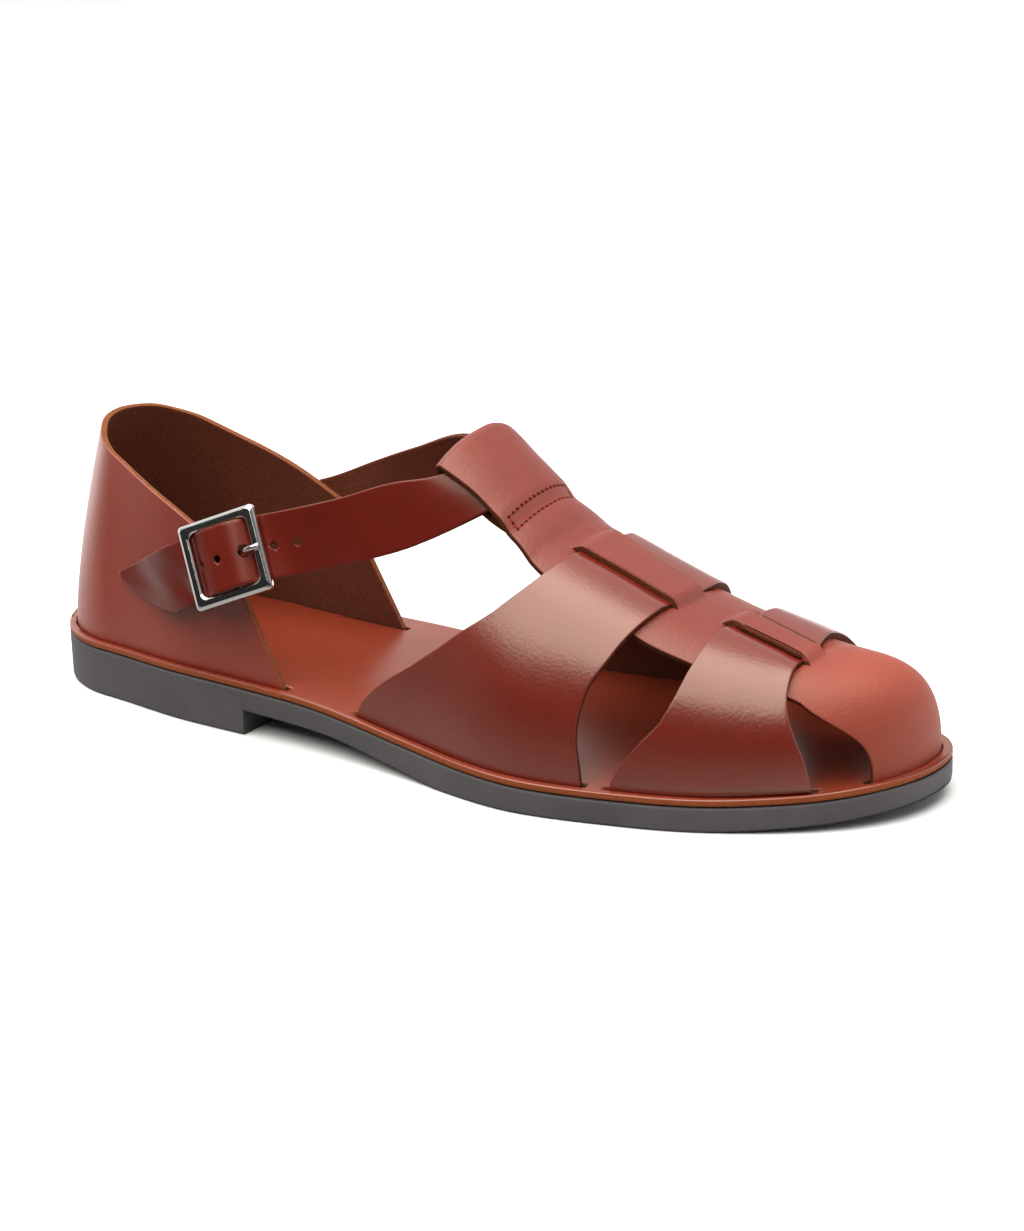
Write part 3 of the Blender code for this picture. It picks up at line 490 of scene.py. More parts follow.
def form_section(along):
    """Lateral foot, crown line, medial foot and crown height of the form."""
    tip = LENGTH - TOE_MARGIN - LEATHER
    along = min(along, tip - TIP_CLEAR)
    lateral = leather_edge(along, LATERAL, LEATHER)
    medial = leather_edge(along, MEDIAL, LEATHER)
    crown = lateral + column(FORM, "ridge", along) * (medial - lateral)
    dome = clamp((along - DOME_FROM) / (tip - DOME_FROM))
    height = column(FORM, "crown", along) * (1 - dome**DOME_POWER) ** (1 / DOME_POWER)
    return lateral, crown, medial, height


def form_at(along, angle):
    """Point of the form: angle 0 at the lateral foot, pi at the medial foot."""
    lateral, crown, medial, height = form_section(along)
    on_lateral = angle < math.pi / 2
    reach = crown - lateral if on_lateral else crown - medial
    power = LATERAL_POWER if on_lateral else MEDIAL_POWER
    out = abs(math.cos(angle)) ** (2 / power)
    up = max(math.sin(angle), 0.0) ** (2 / power)
    return Vector((along, crown - reach * out, topsole_top(along) + height * up))


def angle_at(along, y):
    """Angle on the form of a point given by its sideways position."""
    lateral, crown, medial, _ = form_section(along)
    if y < crown:
        share = (crown - y) / max(crown - lateral, 0.01)
        return math.acos(min(share, 1.0) ** (LATERAL_POWER / 2))
    share = (y - crown) / max(medial - crown, 0.01)
    return math.pi - math.acos(min(share, 1.0) ** (MEDIAL_POWER / 2))


def form_frame(along, angle):
    """Point, backward direction along the shoe and outward normal of the form."""
    low = min(max(angle - FORM_TURN, 0.0), math.pi - 2 * FORM_TURN)
    across = form_at(along, low + 2 * FORM_TURN) - form_at(along, low)
    lengthwise = form_at(along + FORM_STEP, angle) - form_at(along - FORM_STEP, angle)
    normal = lengthwise.cross(across).normalized()
    return form_at(along, angle), -lengthwise.normalized(), normal


def foot_point(along, y, side, lift):
    """Middle of a strap's leather where it reaches the topsole."""
    normal = form_frame(along - FOOT_BACK, 0.0 if side == LATERAL else math.pi)[2]
    outward = Vector((normal.x, normal.y, 0)).normalized()
    return Vector((along, y, topsole_top(along))) + outward * lift


def on_form(along, y, lift, back=0.0):
    """Point at a height off the form, moved back along it if wanted."""
    point, backward, normal = form_frame(along, angle_at(along, y))
    return point + normal * lift + backward * back


# Materials, all procedural, in metres of the part's own frame
MOTTLE = 0.05  # how uneven a dye is
WORN = 0.02  # how uneven the gloss of leather is
# Towards the toe the colour is paler: painted light, standing in for the brighter light on the
# toe; the leather stretched there is also rougher
TOE_PALE_FROM = 0.1
TOE_PALE_TO = 0.125
TOE_DULLER = 0.16  # by which the leather stretched over the toes is rougher
TOE_LIT_COGNAC = (0.27, 0.034, 0.0145)
WAX = (1.0, 0.94, 0.8, 1.0)  # tint of the light that waxed leather throws back
WHITE = (1.0, 1.0, 1.0, 1.0)

# Scale, detail and roughness of each noise, and depth and strength of each bump
DYE_NOISE = (130.0, 4.0)
WEAR_NOISE = (420.0, 3.0)
PORE_NOISE = (550.0, 2.0)
FIBRE_NOISE = (1100.0, 6.0, 0.7)
DUST_NOISE = (60.0, 5.0)
SKIN_NOISE = (1600.0, 4.0)
POLISH_NOISE = (700.0, 4.0)
NOISE_ENDS = (0.25, 0.75)  # between which most of a noise lies
GRAIN_CELLS = 1100.0
GRAIN_DEPTH = 0.0001
PORE_BUMP = (0.00006, 0.1)
FIBRE_BUMP = (0.00025, 0.5)
SKIN_BUMP = (0.00015, 0.35)


def fill(tree, node, inputs):
    """Set or link the inputs of a node."""
    for name, value in inputs.items():
        if isinstance(value, bpy.types.NodeSocket):
            tree.links.new(value, node.inputs[name])
        else:
            node.inputs[name].default_value = value


def add_node(tree, kind, inputs, output, **settings):
    """One output of a new node."""
    node = tree.nodes.new("ShaderNode" + kind)
    for name, value in settings.items():
        setattr(node, name, value)
    fill(tree, node, inputs)
    return node.outputs[output]


def own_place(tree):
    return add_node(tree, "TexCoord", {}, "Object")


def noise(tree, scale, detail, rough=0.55):
    inputs = {"Vector": own_place(tree), "Scale": scale, "Detail": detail, "Roughness": rough}
    return add_node(tree, "TexNoise", inputs, "Fac")


def cells(tree, scale):
    """Rounded cells like the grain of leather."""
    inputs = {"Vector": own_place(tree), "Scale": scale, "Smoothness": 0.6}
    return add_node(tree, "TexVoronoi", inputs, "Distance", feature="SMOOTH_F1")


def moved_range(tree, value, start, end, low=0.0, high=1.0, **settings):
    inputs = {"Value": value, "From Min": start, "From Max": end, "To Min": low, "To Max": high}
    return add_node(tree, "MapRange", inputs, "Result", **settings)


def uneven(tree, value, middle, by):
    """Noise moved to a range round a middle value."""
    return moved_range(tree, value, *NOISE_ENDS, middle - by, middle + by)


def maths(tree, operation, *values):
    return add_node(tree, "Math", dict(enumerate(values)), "Value", operation=operation)


def mixed(tree, factor, first, second):
    inputs = {"Factor": factor, "A": first, "B": second}
    return add_node(tree, "Mix", inputs, "Result", data_type="RGBA")


def ramp(tree, value, dark, light, start=0.3, end=0.7):
    """Colours from a dark one to a light one."""
    node = tree.nodes.new("ShaderNodeValToRGB")
    for element, place, colour in zip(node.color_ramp.elements, (start, end), (dark, light)):
        element.position = place
        element.color = (*colour, 1)
    fill(tree, node, {"Fac": value})
    return node.outputs["Color"]


def mottled(tree, value, colour, by):
    dark = [channel * (1 - by) for channel in colour]
    light = [channel * (1 + by) for channel in colour]
    return ramp(tree, value, dark, light)


def bump(tree, height, distance, strength):
    inputs = {"Height": height, "Distance": distance, "Strength": strength}
    return add_node(tree, "Bump", inputs, "Normal")


def new_material(name):
    material = bpy.data.materials.new(name)
    material.use_nodes = True
    tree = material.node_tree
    return material, tree, tree.nodes["Principled BSDF"]


def leather(name, colour, roughness, grain, specular, toe_lit_colour=None):
    """Leather with a slightly uneven dye, smooth or with a pebbled grain, and with painted light
    towards the toe when given a toe colour.
    """
    material, tree, shader = new_material(name)
    dyed = mottled(tree, noise(tree, *DYE_NOISE), colour, MOTTLE)
    gloss = uneven(tree, noise(tree, *WEAR_NOISE), roughness, WORN)
    if toe_lit_colour:
        # Paler colour towards the toe is painted light; the rougher gloss there is the stretched
        # leather's own
        along = add_node(tree, "SeparateXYZ", {"Vector": own_place(tree)}, "X")
        ends = (TOE_PALE_FROM, TOE_PALE_TO)
        toe_lit_and_stretched = moved_range(tree, along, *ends, interpolation_type="SMOOTHSTEP")
        dyed = mixed(tree, toe_lit_and_stretched, dyed, (*toe_lit_colour, 1))
        gloss = maths(tree, "MULTIPLY_ADD", toe_lit_and_stretched, TOE_DULLER, gloss)
    if grain:
        surface = bump(tree, cells(tree, GRAIN_CELLS), GRAIN_DEPTH, grain)
    else:
        surface = bump(tree, noise(tree, *PORE_NOISE), *PORE_BUMP)
    fill(tree, shader, {"Base Color": dyed, "Roughness": gloss, "Normal": surface})
    fill(tree, shader, {"Specular IOR Level": specular, "Specular Tint": WAX})
    return material


def fibrous(name, dark, light, roughness):
    """Flesh side or cut edge of leather: matte, streaky and fibrous."""
    material, tree, shader = new_material(name)
    fibres = noise(tree, *FIBRE_NOISE)
    surface = bump(tree, fibres, *FIBRE_BUMP)
    fill(tree, shader, {"Base Color": ramp(tree, fibres, dark, light), "Normal": surface})
    fill(tree, shader, {"Roughness": roughness, "Specular IOR Level": 0.06})
    return material


def rubber(name, colour):
    material, tree, shader = new_material(name)
    dust = mottled(tree, noise(tree, *DUST_NOISE), colour, 0.12)
    skin = bump(tree, noise(tree, *SKIN_NOISE), *SKIN_BUMP)
    fill(tree, shader, {"Base Color": dust, "Normal": skin})
    fill(tree, shader, {"Roughness": 0.62, "Specular IOR Level": 0.4})
    return material


def metal(name, colour, roughness):
    material, tree, shader = new_material(name)
    gloss = uneven(tree, noise(tree, *POLISH_NOISE), roughness, 0.03)
    fill(tree, shader, {"Base Color": (*colour, 1), "Metallic": 1.0, "Roughness": gloss})
    return material


def plain(name, colour, roughness):
    material, tree, shader = new_material(name)
    inputs = {"Base Color": (*colour, 1), "Roughness": roughness, "Specular IOR Level": 0.12}
    fill(tree, shader, inputs)
    return material


band_grain = leather("band grain", (0.155, 0.013, 0.006), 0.3, 0.3, 1.0)
strip_grain = leather("strip grain", (0.18, 0.0165, 0.0075), 0.46, 0.7, 0.68, TOE_LIT_COGNAC)
counter_grain = leather("counter grain", (0.25, 0.023, 0.0105), 0.38, 0.25, 0.95)
strap_grain = leather("strap grain", (0.135, 0.0105, 0.005), 0.32, 0.0, 0.42)
topsole_grain = leather("topsole grain", (0.22, 0.031, 0.0115), 0.31, 0.0, 0.95)
flesh = fibrous("flesh side", (0.085, 0.024, 0.013), (0.145, 0.041, 0.022), 0.75)
cut_edge = fibrous("cut edge", (0.07, 0.02, 0.01), (0.14, 0.042, 0.019), 0.7)
# Cut edge of the counter: its own orange-brown, made lighter as a painted highlight along its top
counter_edge_highlit = fibrous("counter edge with painted highlight", (0.12, 0.04, 0.016), (0.26, 0.085, 0.03), 0.5)
topsole_edge = fibrous("topsole edge", (0.22, 0.055, 0.02), (0.34, 0.09, 0.03), 0.5)
sole_rubber = rubber("sole rubber", (0.08, 0.0755, 0.0765))
nickel = metal("nickel", (0.66, 0.65, 0.63), 0.16)
thread = plain("thread", (0.22, 0.022, 0.012), 0.6)
# Dark discs at the needle holes: painted shade, standing in for the shade inside each hole
needle_hole_shade = plain("painted needle hole shade", (0.022, 0.004, 0.003), 0.9)


# Meshes
SHARP_TURN = 0.3  # below it a rim turns too sharply to be mitred
LARGE_FACES = 80  # weight of large faces in the normals
SAME_POINT = 1e-4
TUBE_END_TURNS = (0.5, 0.85, 1.2, 1.5)  # radians round the end of a wire
RIM_SLOTS = (0, 0, 2, 2, 1)  # materials of a rim's faces, from the grain side down
EASED = 0.293  # how far the middle of a rounded edge lies in, for a rounding of 1


def set_down(point):
    """From millimetres along the shoe to metres in the part's own frame."""
    return Vector((point[0] - LENGTH / 2, point[1] - MIDDLE, point[2])) * MM


def add_object(name, points, faces, slots, materials):
    mesh = bpy.data.meshes.new(name)
    mesh.from_pydata([set_down(point) for point in points], [], faces)
    for material in materials:
        mesh.materials.append(material)
    mesh.polygons.foreach_set("material_index", slots)
    mesh.polygons.foreach_set("use_smooth", [True] * len(faces))
    mesh.update()
    obj = bpy.data.objects.new(name, mesh)
    bpy.context.scene.collection.objects.link(obj)
    return obj


def soften(obj):
    """Normals that follow the large faces, so that rounded edges stay narrow."""
    weighted = obj.modifiers.new("normals", "WEIGHTED_NORMAL")
    weighted.keep_sharp = False
    weighted.weight = LARGE_FACES


def grid(columns, rows):
    """Flat grid of faces and the whole-number place of each of its points."""
    bm = bmesh.new()
    bmesh.ops.create_grid(bm, x_segments=columns, y_segments=rows, size=1)
    place = {}
    for vertex in bm.verts:
        i = round((vertex.co.x + 1) / 2 * columns)
        j = round((vertex.co.y + 1) / 2 * rows)
        place[vertex] = (i, j)
    return bm, place


def outward_at(vertex, normals):
    """Direction in the surface that leads off it at a point of its rim."""
    outs = []
    toward = Vector()
    for item in vertex.link_edges:
        if not item.is_boundary:
            continue
        loop = item.link_loops[0]
        run = loop.link_loop_next.vert.co - loop.vert.co
        outs.append(run.cross(normals[vertex.index]).normalized())
        toward += (item.other_vert(vertex).co - vertex.co).normalized()
    if len(outs) != 2 or 1 + outs[0].dot(outs[1]) < SHARP_TURN:
        return toward.normalized()
    return (outs[0] + outs[1]) / (1 + outs[0].dot(outs[1]))


def round_rim(top, bottom, rounding):
    """Profile of a rim: how far off the edge and how high."""
    eased = EASED * rounding
    return [
        (-rounding, top),
        (-eased, top - eased),
        (0.0, top - rounding),
        (0.0, bottom + rounding),
        (-eased, bottom + eased),
        (-rounding, bottom),
    ]


def close_shell(name, bm, normals, rims, materials):
    """Closed piece from an open mesh, given the rim profile at each of its points."""
    points = []
    ring = []
    for vertex in bm.verts:
        rim = rims[vertex.index]
        normal = normals[vertex.index]
        if vertex.is_boundary:
            out = outward_at(vertex, normals)
            places = [vertex.co + out * off + normal * up for off, up in rim]
        else:
            places = [vertex.co + normal * rim[0][1], vertex.co + normal * rim[-1][1]]
        ring.append(range(len(points), len(points) + len(places)))
        points += places
    faces = []
    slots = []
    for face in bm.faces:
        corners = [vertex.index for vertex in face.verts]
        faces.append([ring[corner][0] for corner in corners])
        faces.append([ring[corner][-1] for corner in reversed(corners)])
        slots += [0, 1]
    for item in bm.edges:
        if not item.is_boundary:
            continue
        loop = item.link_loops[0]
        first = ring[loop.vert.index]
        second = ring[loop.link_loop_next.vert.index]
        for k, slot in enumerate(RIM_SLOTS):
            faces.append([second[k], first[k], first[k + 1], second[k + 1]])
            slots.append(slot)
    bm.free()
    obj = add_object(name, points, faces, slots, materials)
    soften(obj)
    return obj


def leather_shell(name, bm, thickness, materials):
    """Leather of even thickness round the middle surface, grain side outward."""
    bm.normal_update()
    facing = 0.0
    for face in bm.faces:
        centre = face.calc_center_median()
        from_axis = centre - Vector((centre.x, MIDDLE, FOOT_AXIS))
        facing += face.calc_area() * face.normal.dot(from_axis)
    if facing < 0:
        bmesh.ops.reverse_faces(bm, faces=bm.faces[:])
    bm.normal_update()
    bm.verts.index_update()
    normals = [vertex.normal.copy() for vertex in bm.verts]
    rim = round_rim(thickness / 2, -thickness / 2, CUT_EDGE)
    return close_shell(name, bm, normals, [rim] * len(normals), materials)


def sheet(name, columns, rows, at, thickness, materials):
    bm, place = grid(columns, rows)
    for vertex, (i, j) in place.items():
        vertex.co = at(i, j)
    return leather_shell(name, bm, thickness, materials)


def plate(name, stations, across, top, bottom, rounding, materials):
    """Plate with the outline of the sole between two heights along it."""
    bm, place = grid(across, len(stations) - 1)
    for vertex, (i, j) in place.items():
        along = stations[j]
        lateral = edge(along, LATERAL)
        medial = edge(along, MEDIAL)
        vertex.co = (along, lateral + (medial - lateral) * i / across, 0)
    bmesh.ops.remove_doubles(bm, verts=bm.verts[:], dist=SAME_POINT)
    bm.normal_update()
    if sum(face.normal.z for face in bm.faces) < 0:
        bmesh.ops.reverse_faces(bm, faces=bm.faces[:])
    bm.verts.index_update()
    normals = [Vector((0, 0, 1))] * len(bm.verts)
    rims = []
    for vertex in bm.verts:
        along = vertex.co.x
        rims.append(round_rim(top(along), bottom(along), rounding))
    return close_shell(name, bm, normals, rims, materials)


def drop_idle_points(obj):
    """Take out the points that a cut leaves in the middle of an edge."""
    bm = bmesh.new()
    bm.from_mesh(obj.data)
    idle = [point for point in bm.verts if len(point.link_edges) == 2]
    bmesh.ops.dissolve_verts(bm, verts=idle)
    bm.to_mesh(obj.data)
    bm.free()


def cut_away(obj, cutters):
    """Cut pieces out of obj and delete them."""
    obj.modifiers.clear()
    for cutter in cutters:
        boolean = obj.modifiers.new(cutter.name, "BOOLEAN")
        boolean.operation = "DIFFERENCE"
        boolean.solver = "EXACT"
        boolean.object = cutter
    cut = obj.evaluated_get(bpy.context.evaluated_depsgraph_get())
    mesh = bpy.data.meshes.new_from_object(cut)
    obj.modifiers.clear()
    obj.data = mesh
    drop_idle_points(obj)
    for cutter in cutters:
        bpy.data.objects.remove(cutter, do_unlink=True)
    soften(obj)


def joined(low, high):
    """Faces between two closed rings of points."""
    count = len(low)
    ends = [(i, (i + 1) % count) for i in range(count)]
    return [[low[i], low[k], high[k], high[i]] for i, k in ends]


def tube(name, path, radius, sides, material):
    """Round wire along a path of points, with a rounded end."""
    rings = []
    run = (path[-1] - path[-2]).normalized()
    stations = [(point, radius) for point in path]
    for turn in TUBE_END_TURNS:
        stations.append((path[-1] + run * (radius * math.sin(turn)), radius * math.cos(turn)))
    middles = [point for point, size in stations]
    side = (path[1] - path[0]).orthogonal().normalized()
    points = []
    for j, (point, size) in enumerate(stations):
        before = middles[max(j - 1, 0)]
        after = middles[min(j + 1, len(middles) - 1)]
        tangent = (after - before).normalized()
        side = (side - tangent * side.dot(tangent)).normalized()
        other = tangent.cross(side)
        ring = []
        for i in range(sides):
            turn = 2 * math.pi * i / sides
            ring.append(len(points))
            points.append(point + (side * math.cos(turn) + other * math.sin(turn)) * size)
        rings.append(ring)
    faces = []
    for low, high in zip(rings[:-1], rings[1:]):
        faces += joined(low, high)
    faces += [list(reversed(rings[0])), rings[-1]]
    return add_object(name, points, faces, [0] * len(faces), [material])


# Sole
def ends_spaced(start, end, count):
    """Stations that crowd together towards both ends."""
    turns = np.linspace(0, math.pi, count)
    return [float(start + (end - start) * (1 - math.cos(turn)) / 2) for turn in turns]


def topsole_bottom(along):
    return sole_top(along) + GAP


even = ends_spaced(0, LENGTH, SOLE_STATIONS)
stations = [along for along in even if abs(along - HEEL_BREAST) > BREAST_CLEAR]
stations += [HEEL_BREAST - BREAST_STEP / 2, HEEL_BREAST + BREAST_STEP / 2]
stations.sort()
finish = [sole_rubber, sole_rubber, sole_rubber]
outsole = plate("sole_unit", stations, SOLE_COLUMNS, sole_top, sole_bottom, SOLE_ROUND, finish)
finish = [topsole_grain, flesh, topsole_edge]
heights = (topsole_top, topsole_bottom)
topsole = plate("insole", even, TOPSOLE_COLUMNS, *heights, TOPSOLE_ROUND, finish)


def slot_cutter(name, path):
    """Upright cutter along a line of points, wide enough for a strap foot."""
    bm, place = grid(len(path) - 1, 1)
    for vertex, (i, j) in place.items():
        along, y = path[i]
        vertex.co = (along, y, topsole_top(along) + SLOT_CUTTER * (2 * j - 1))
    return leather_shell(name, bm, LEATHER + 2 * GAP, [cut_edge, cut_edge, cut_edge])


slots = []
for label, edges in (("rear", REAR_BAND), ("front", FRONT_BAND)):
    for side in (LATERAL, MEDIAL):
        line = []
        ends = edges[0]
        columns = list(np.linspace(ends.rear, ends.front, BAND_SLOT_POINTS))
        for along in [ends.rear - SLOT_SPARE] + columns + [ends.front + SLOT_SPARE]:
            along = float(along)
            foot = foot_point(along, leather_edge(along, side, LEATHER), side, LEATHER / 2)
            line.append((foot.x, foot.y))
        slots.append(slot_cutter(f"slot_{label}_{side:+d}", line))


def toe_foot(turn):
    """Inner foot of the toe cap and its side, by degrees from the tip."""
    side = LATERAL if turn < 0 else MEDIAL
    turn = math.radians(abs(turn))
    reach = TOE_ROUND - TOE_MARGIN - LEATHER
    along = LENGTH - TOE_ROUND + reach * math.cos(turn) ** (2 / TOE_SQUARENESS)
    return along, leather_edge(along, side, LEATHER), side


line = []
turns = (TOE_CAP_LATERAL - TOE_SLOT_SPARE, TOE_CAP_MEDIAL + TOE_SLOT_SPARE)
for turn in np.linspace(*turns, TOE_SLOT_POINTS):
    foot = foot_point(*toe_foot(float(turn)), LEATHER / 2)
    line.append((foot.x, foot.y))
slots.append(slot_cutter("slot_toe_cap", line))

# Upper: centre strip with its loop, bridges and toe cap, woven with two bands
StripRow = namedtuple("StripRow", "along lift back toe foot narrow", defaults=(0.0, 0.0, 0.0, 1.0))


def stepped(start, end, step):
    count = max(round(abs(end - start) / step), 1)
    return [float(value) for value in np.linspace(start, end, count + 1)]


def top_row(along):
    """Row of the strip on top of the foot."""
    return StripRow(along, column(LOOP_TOP, "lift", along))


flap = stepped(LOOP_SEWN_END, LOOP_FOLD, ROW_STEP)


def strip_rows():
    """From the folded end, round the loop and down to the toe."""
    rows = []
    for along in flap[:-1]:
        tapered = max(along - FLAP_NARROWS, 0) / (LOOP_SEWN_END - FLAP_NARROWS)
        rows.append(StripRow(along, UNDER, narrow=1 - (1 - FLAP_END) * tapered))
    bend = (OVER - UNDER) / 2
    for step in range(FOLD_STEPS + 1):
        turn = math.pi * step / FOLD_STEPS
        lift = UNDER + bend * (1 - math.cos(turn))
        rows.append(StripRow(LOOP_FOLD, lift, back=bend * math.sin(turn)))
    ends = [LOOP_FOLD, *SLITS[0], *SLITS[1], TOE_CAP_FROM]
    for start, end in zip(ends[:-1], ends[1:]):
        rows += [top_row(along) for along in stepped(start, end, ROW_STEP)[1:]]
    for step in range(1, TOE_STEPS + 1):
        rows.append(StripRow(TOE_CAP_FROM, UNDER, toe=step / TOE_STEPS))
    rows.append(StripRow(TOE_CAP_FROM, UNDER, toe=1.0, foot=FOOT))
    return rows


def strip_across(along, share):
    """Sideways position on the strip, by the share of the way to its edges."""
    lateral = column(STRIP, "lateral", along)
    inner = column(STRIP, "slit_lateral", along)
    other = column(STRIP, "slit_medial", along)
    medial = column(STRIP, "medial", along)
    if share < -SLIT_SHARE:
        return lateral + (inner - lateral) * (share + 1) / (1 - SLIT_SHARE)
    if share > SLIT_SHARE:
        return other + (medial - other) * (share - SLIT_SHARE) / (1 - SLIT_SHARE)
    return inner + (other - inner) * (share + SLIT_SHARE) / (2 * SLIT_SHARE)


def on_slit(share):
    return abs(abs(share) - SLIT_SHARE) < SLIT_NEAR


def bridge_lift(along):
    for slit in SLITS:
        if slit.rear < along < slit.front:
            start = ease((along - slit.rear - SLIT_SHUT) / BRIDGE_RAMP)
            return start * ease((slit.front - along - SLIT_SHUT) / BRIDGE_RAMP)
    return 0.0


def climbed(along, y):
    """How far a band has come up from under a bridge on to the strip, 0 to 1."""
    lateral = column(STRIP, "slit_lateral", along) - y
    medial = y - column(STRIP, "slit_medial", along)
    return max(ease((lateral + DIVE_INSIDE) / DIVE_LATERAL), ease(medial / DIVE_MEDIAL))


def loop_skew(along, share):
    """How much further forward the loop lies towards its lateral edge."""
    return LOOP_SKEW * (1 - share) / 2 * ease((SLITS[0].rear - along) / SKEW_FADE)


def strip_point(row, share, inside):
    """Middle of the leather at a row of the strip; inside means on the bridge."""
    if row.toe > 0:
        start_y = strip_across(TOE_CAP_FROM, share)
        turn = TOE_CAP_MEDIAL * share if share > 0 else -TOE_CAP_LATERAL * share
        end_x, end_y, side = toe_foot(turn)
        reach = math.sin(row.toe * math.pi / 2)
        plan_x = TOE_CAP_FROM + (end_x - TOE_CAP_FROM) * reach
        plan_y = start_y + (end_y - start_y) * reach**TOE_CAP_BOW
        if row.toe < 1:
            return on_form(plan_x, plan_y, row.lift)
        return foot_point(end_x, end_y, side, row.lift) - Vector((0, 0, row.foot))
    lifted = bridge_lift(row.along)
    along = row.along + loop_skew(row.along, share)
    y = strip_across(along, share * row.narrow)
    lift = row.lift
    if inside:
        lift += LAYER * lifted
    elif abs(share) > SLIT_SHARE - SLIT_NEAR:
        lift -= LAYER * lifted**PRESS_POWER * (1 - climbed(along, y))
    if on_slit(share):
        pull = math.copysign(SLIT_OPENING * lifted, share)
        y += -pull if inside else pull
    return on_form(along, y, lift, row.back)


rows = strip_rows()
shares = [-1 + 2 * i / STRIP_COLUMNS for i in range(STRIP_COLUMNS + 1)]
bm, place = grid(STRIP_COLUMNS, len(rows) - 1)
cut = []
for item in bm.edges:
    first, second = (place[vertex] for vertex in item.verts)
    if first[0] != second[0] or not on_slit(shares[first[0]]):
        continue
    along = (rows[first[1]].along + rows[second[1]].along) / 2
    on_toe = rows[first[1]].toe > 0 or rows[second[1]].toe > 0
    on_flap = max(first[1], second[1]) < len(flap)
    if not on_toe and not on_flap and any(slit.rear < along < slit.front for slit in SLITS):
        cut.append(item)
bmesh.ops.split_edges(bm, edges=cut)
moved = []
for vertex in bm.verts:
    i = round((vertex.co.x + 1) / 2 * STRIP_COLUMNS)
    j = round((vertex.co.y + 1) / 2 * (len(rows) - 1))
    inside = all(abs(face.calc_center_median().x) < SLIT_SHARE for face in vertex.link_faces)
    moved.append((vertex, strip_point(rows[j], shares[i], inside)))
for vertex, point in moved:
    vertex.co = point
centre_strip = leather_shell("centre_strip", bm, LEATHER, [strip_grain, flesh, cut_edge])


def band_lift(along, y):
    """How far a band is raised off the form: on the strip, or under its bridge."""
    past_edge = max(column(STRIP, "lateral", along) - y, y - column(STRIP, "medial", along))
    down = ease((past_edge - BAND_PAST) / BAND_RISE)
    return LAYER * climbed(along, y) * (1 - down)


def band_point(edges, i, j):
    """Middle of a band's leather, between its two edges."""
    foot = FOOT if j in (0, BAND_ROWS) else 0.0
    angle = math.pi * clamp((j - 1) / (BAND_ROWS - 2))
    turn = 1 - abs(1 - angle / (math.pi / 2))
    rear = column(edges, "rear", turn)
    front = column(edges, "front", turn)
    if edges is FRONT_BAND and angle > math.pi / 2:
        front -= MEDIAL_DRAWN * math.sin(math.pi * turn)
    along = rear + (front - rear) * i / BAND_COLUMNS
    point, _, normal = form_frame(along, angle)
    if angle in (0.0, math.pi):
        side = LATERAL if angle == 0.0 else MEDIAL
        return foot_point(along, point.y, side, LEATHER / 2) - Vector((0, 0, foot))
    return point + normal * (LEATHER / 2 + band_lift(along, point.y))


def band(name, edges):
    def at(i, j):
        return band_point(edges, i, j)

    return sheet(name, BAND_COLUMNS, BAND_ROWS, at, LEATHER, [band_grain, flesh, cut_edge])


rear_band = band("rear_band", REAR_BAND)
front_band = band("front_band", FRONT_BAND)


# Heel counter
def heel_line(depth):
    """Line round the heel from the lateral wing to the medial one, evenly spaced."""
    first = HEEL_MARGIN + depth
    points = []
    spaced = np.linspace(0, 1, HEEL_POINTS)
    wings = ((LATERAL, COUNTER_LATERAL, spaced[::-1]), (MEDIAL, COUNTER_MEDIAL, spaced[1:]))
    for side, tip, shares in wings:
        for share in shares:
            along = float(first + (tip - first) * share**2)
            points.append((along, leather_edge(along, side, depth)))
    return np.array(points)


HEEL = heel_line(LEATHER / 2)
HEEL_REACH = np.concatenate([[0], np.cumsum(np.linalg.norm(np.diff(HEEL, axis=0), axis=1))])
HEEL_BACK = float(HEEL_REACH[HEEL_POINTS - 1])


def heel_plan(part):
    """Point and inward direction on the counter's foot, part -1 to 1 round it."""
    if part < 0:
        reach = HEEL_BACK * (1 + part)
    else:
        reach = HEEL_BACK + (HEEL_REACH[-1] - HEEL_BACK) * part

    def at(distance):
        x = np.interp(distance, HEEL_REACH, HEEL[:, 0])
        y = np.interp(distance, HEEL_REACH, HEEL[:, 1])
        return Vector((float(x), float(y)))

    tangent = (at(reach + HEEL_STEP) - at(reach - HEEL_STEP)).normalized()
    return at(reach), Vector((-tangent.y, tangent.x)) * -1


def counter_lean(part, rise):
    """How far the counter leans in at a height above the topsole."""
    return column(COUNTER, "lean", abs(part)) * max(rise / LEAN_HEIGHT, 0) ** LEAN_POWER


def counter_at(part, height):
    """Middle of the counter's leather, height 0 at its foot and 1 at its top edge."""
    shown = part * (1 - WING_CUT * height)
    point, inward = heel_plan(shown)
    rise = column(COUNTER, "rise", abs(part)) * height
    plan = point + inward * counter_lean(shown, rise)
    return Vector((plan.x, plan.y, topsole_top(point.x) + rise))


def counter_point(i, j):
    part = -1 + 2 * i / COUNTER_COLUMNS
    if j == 0:
        return counter_at(part, 0.0) - Vector((0, 0, FOOT))
    return counter_at(part, (j - 1) / (COUNTER_ROWS - 1))


finish = [counter_grain, flesh, counter_edge_highlit]
heel_counter = sheet("counter", COUNTER_COLUMNS, COUNTER_ROWS, counter_point, LEATHER, finish)
line = [heel_plan(float(part))[0] for part in np.linspace(-1, 1, COUNTER_SLOT_POINTS)]
before = (line[0] - line[1]).normalized() * SLOT_SPARE
after = (line[-1] - line[-2]).normalized() * SLOT_SPARE
line = [line[0] + before, *line, line[-1] + after]
slots.append(slot_cutter("slot_counter", line))
cut_away(topsole, slots)


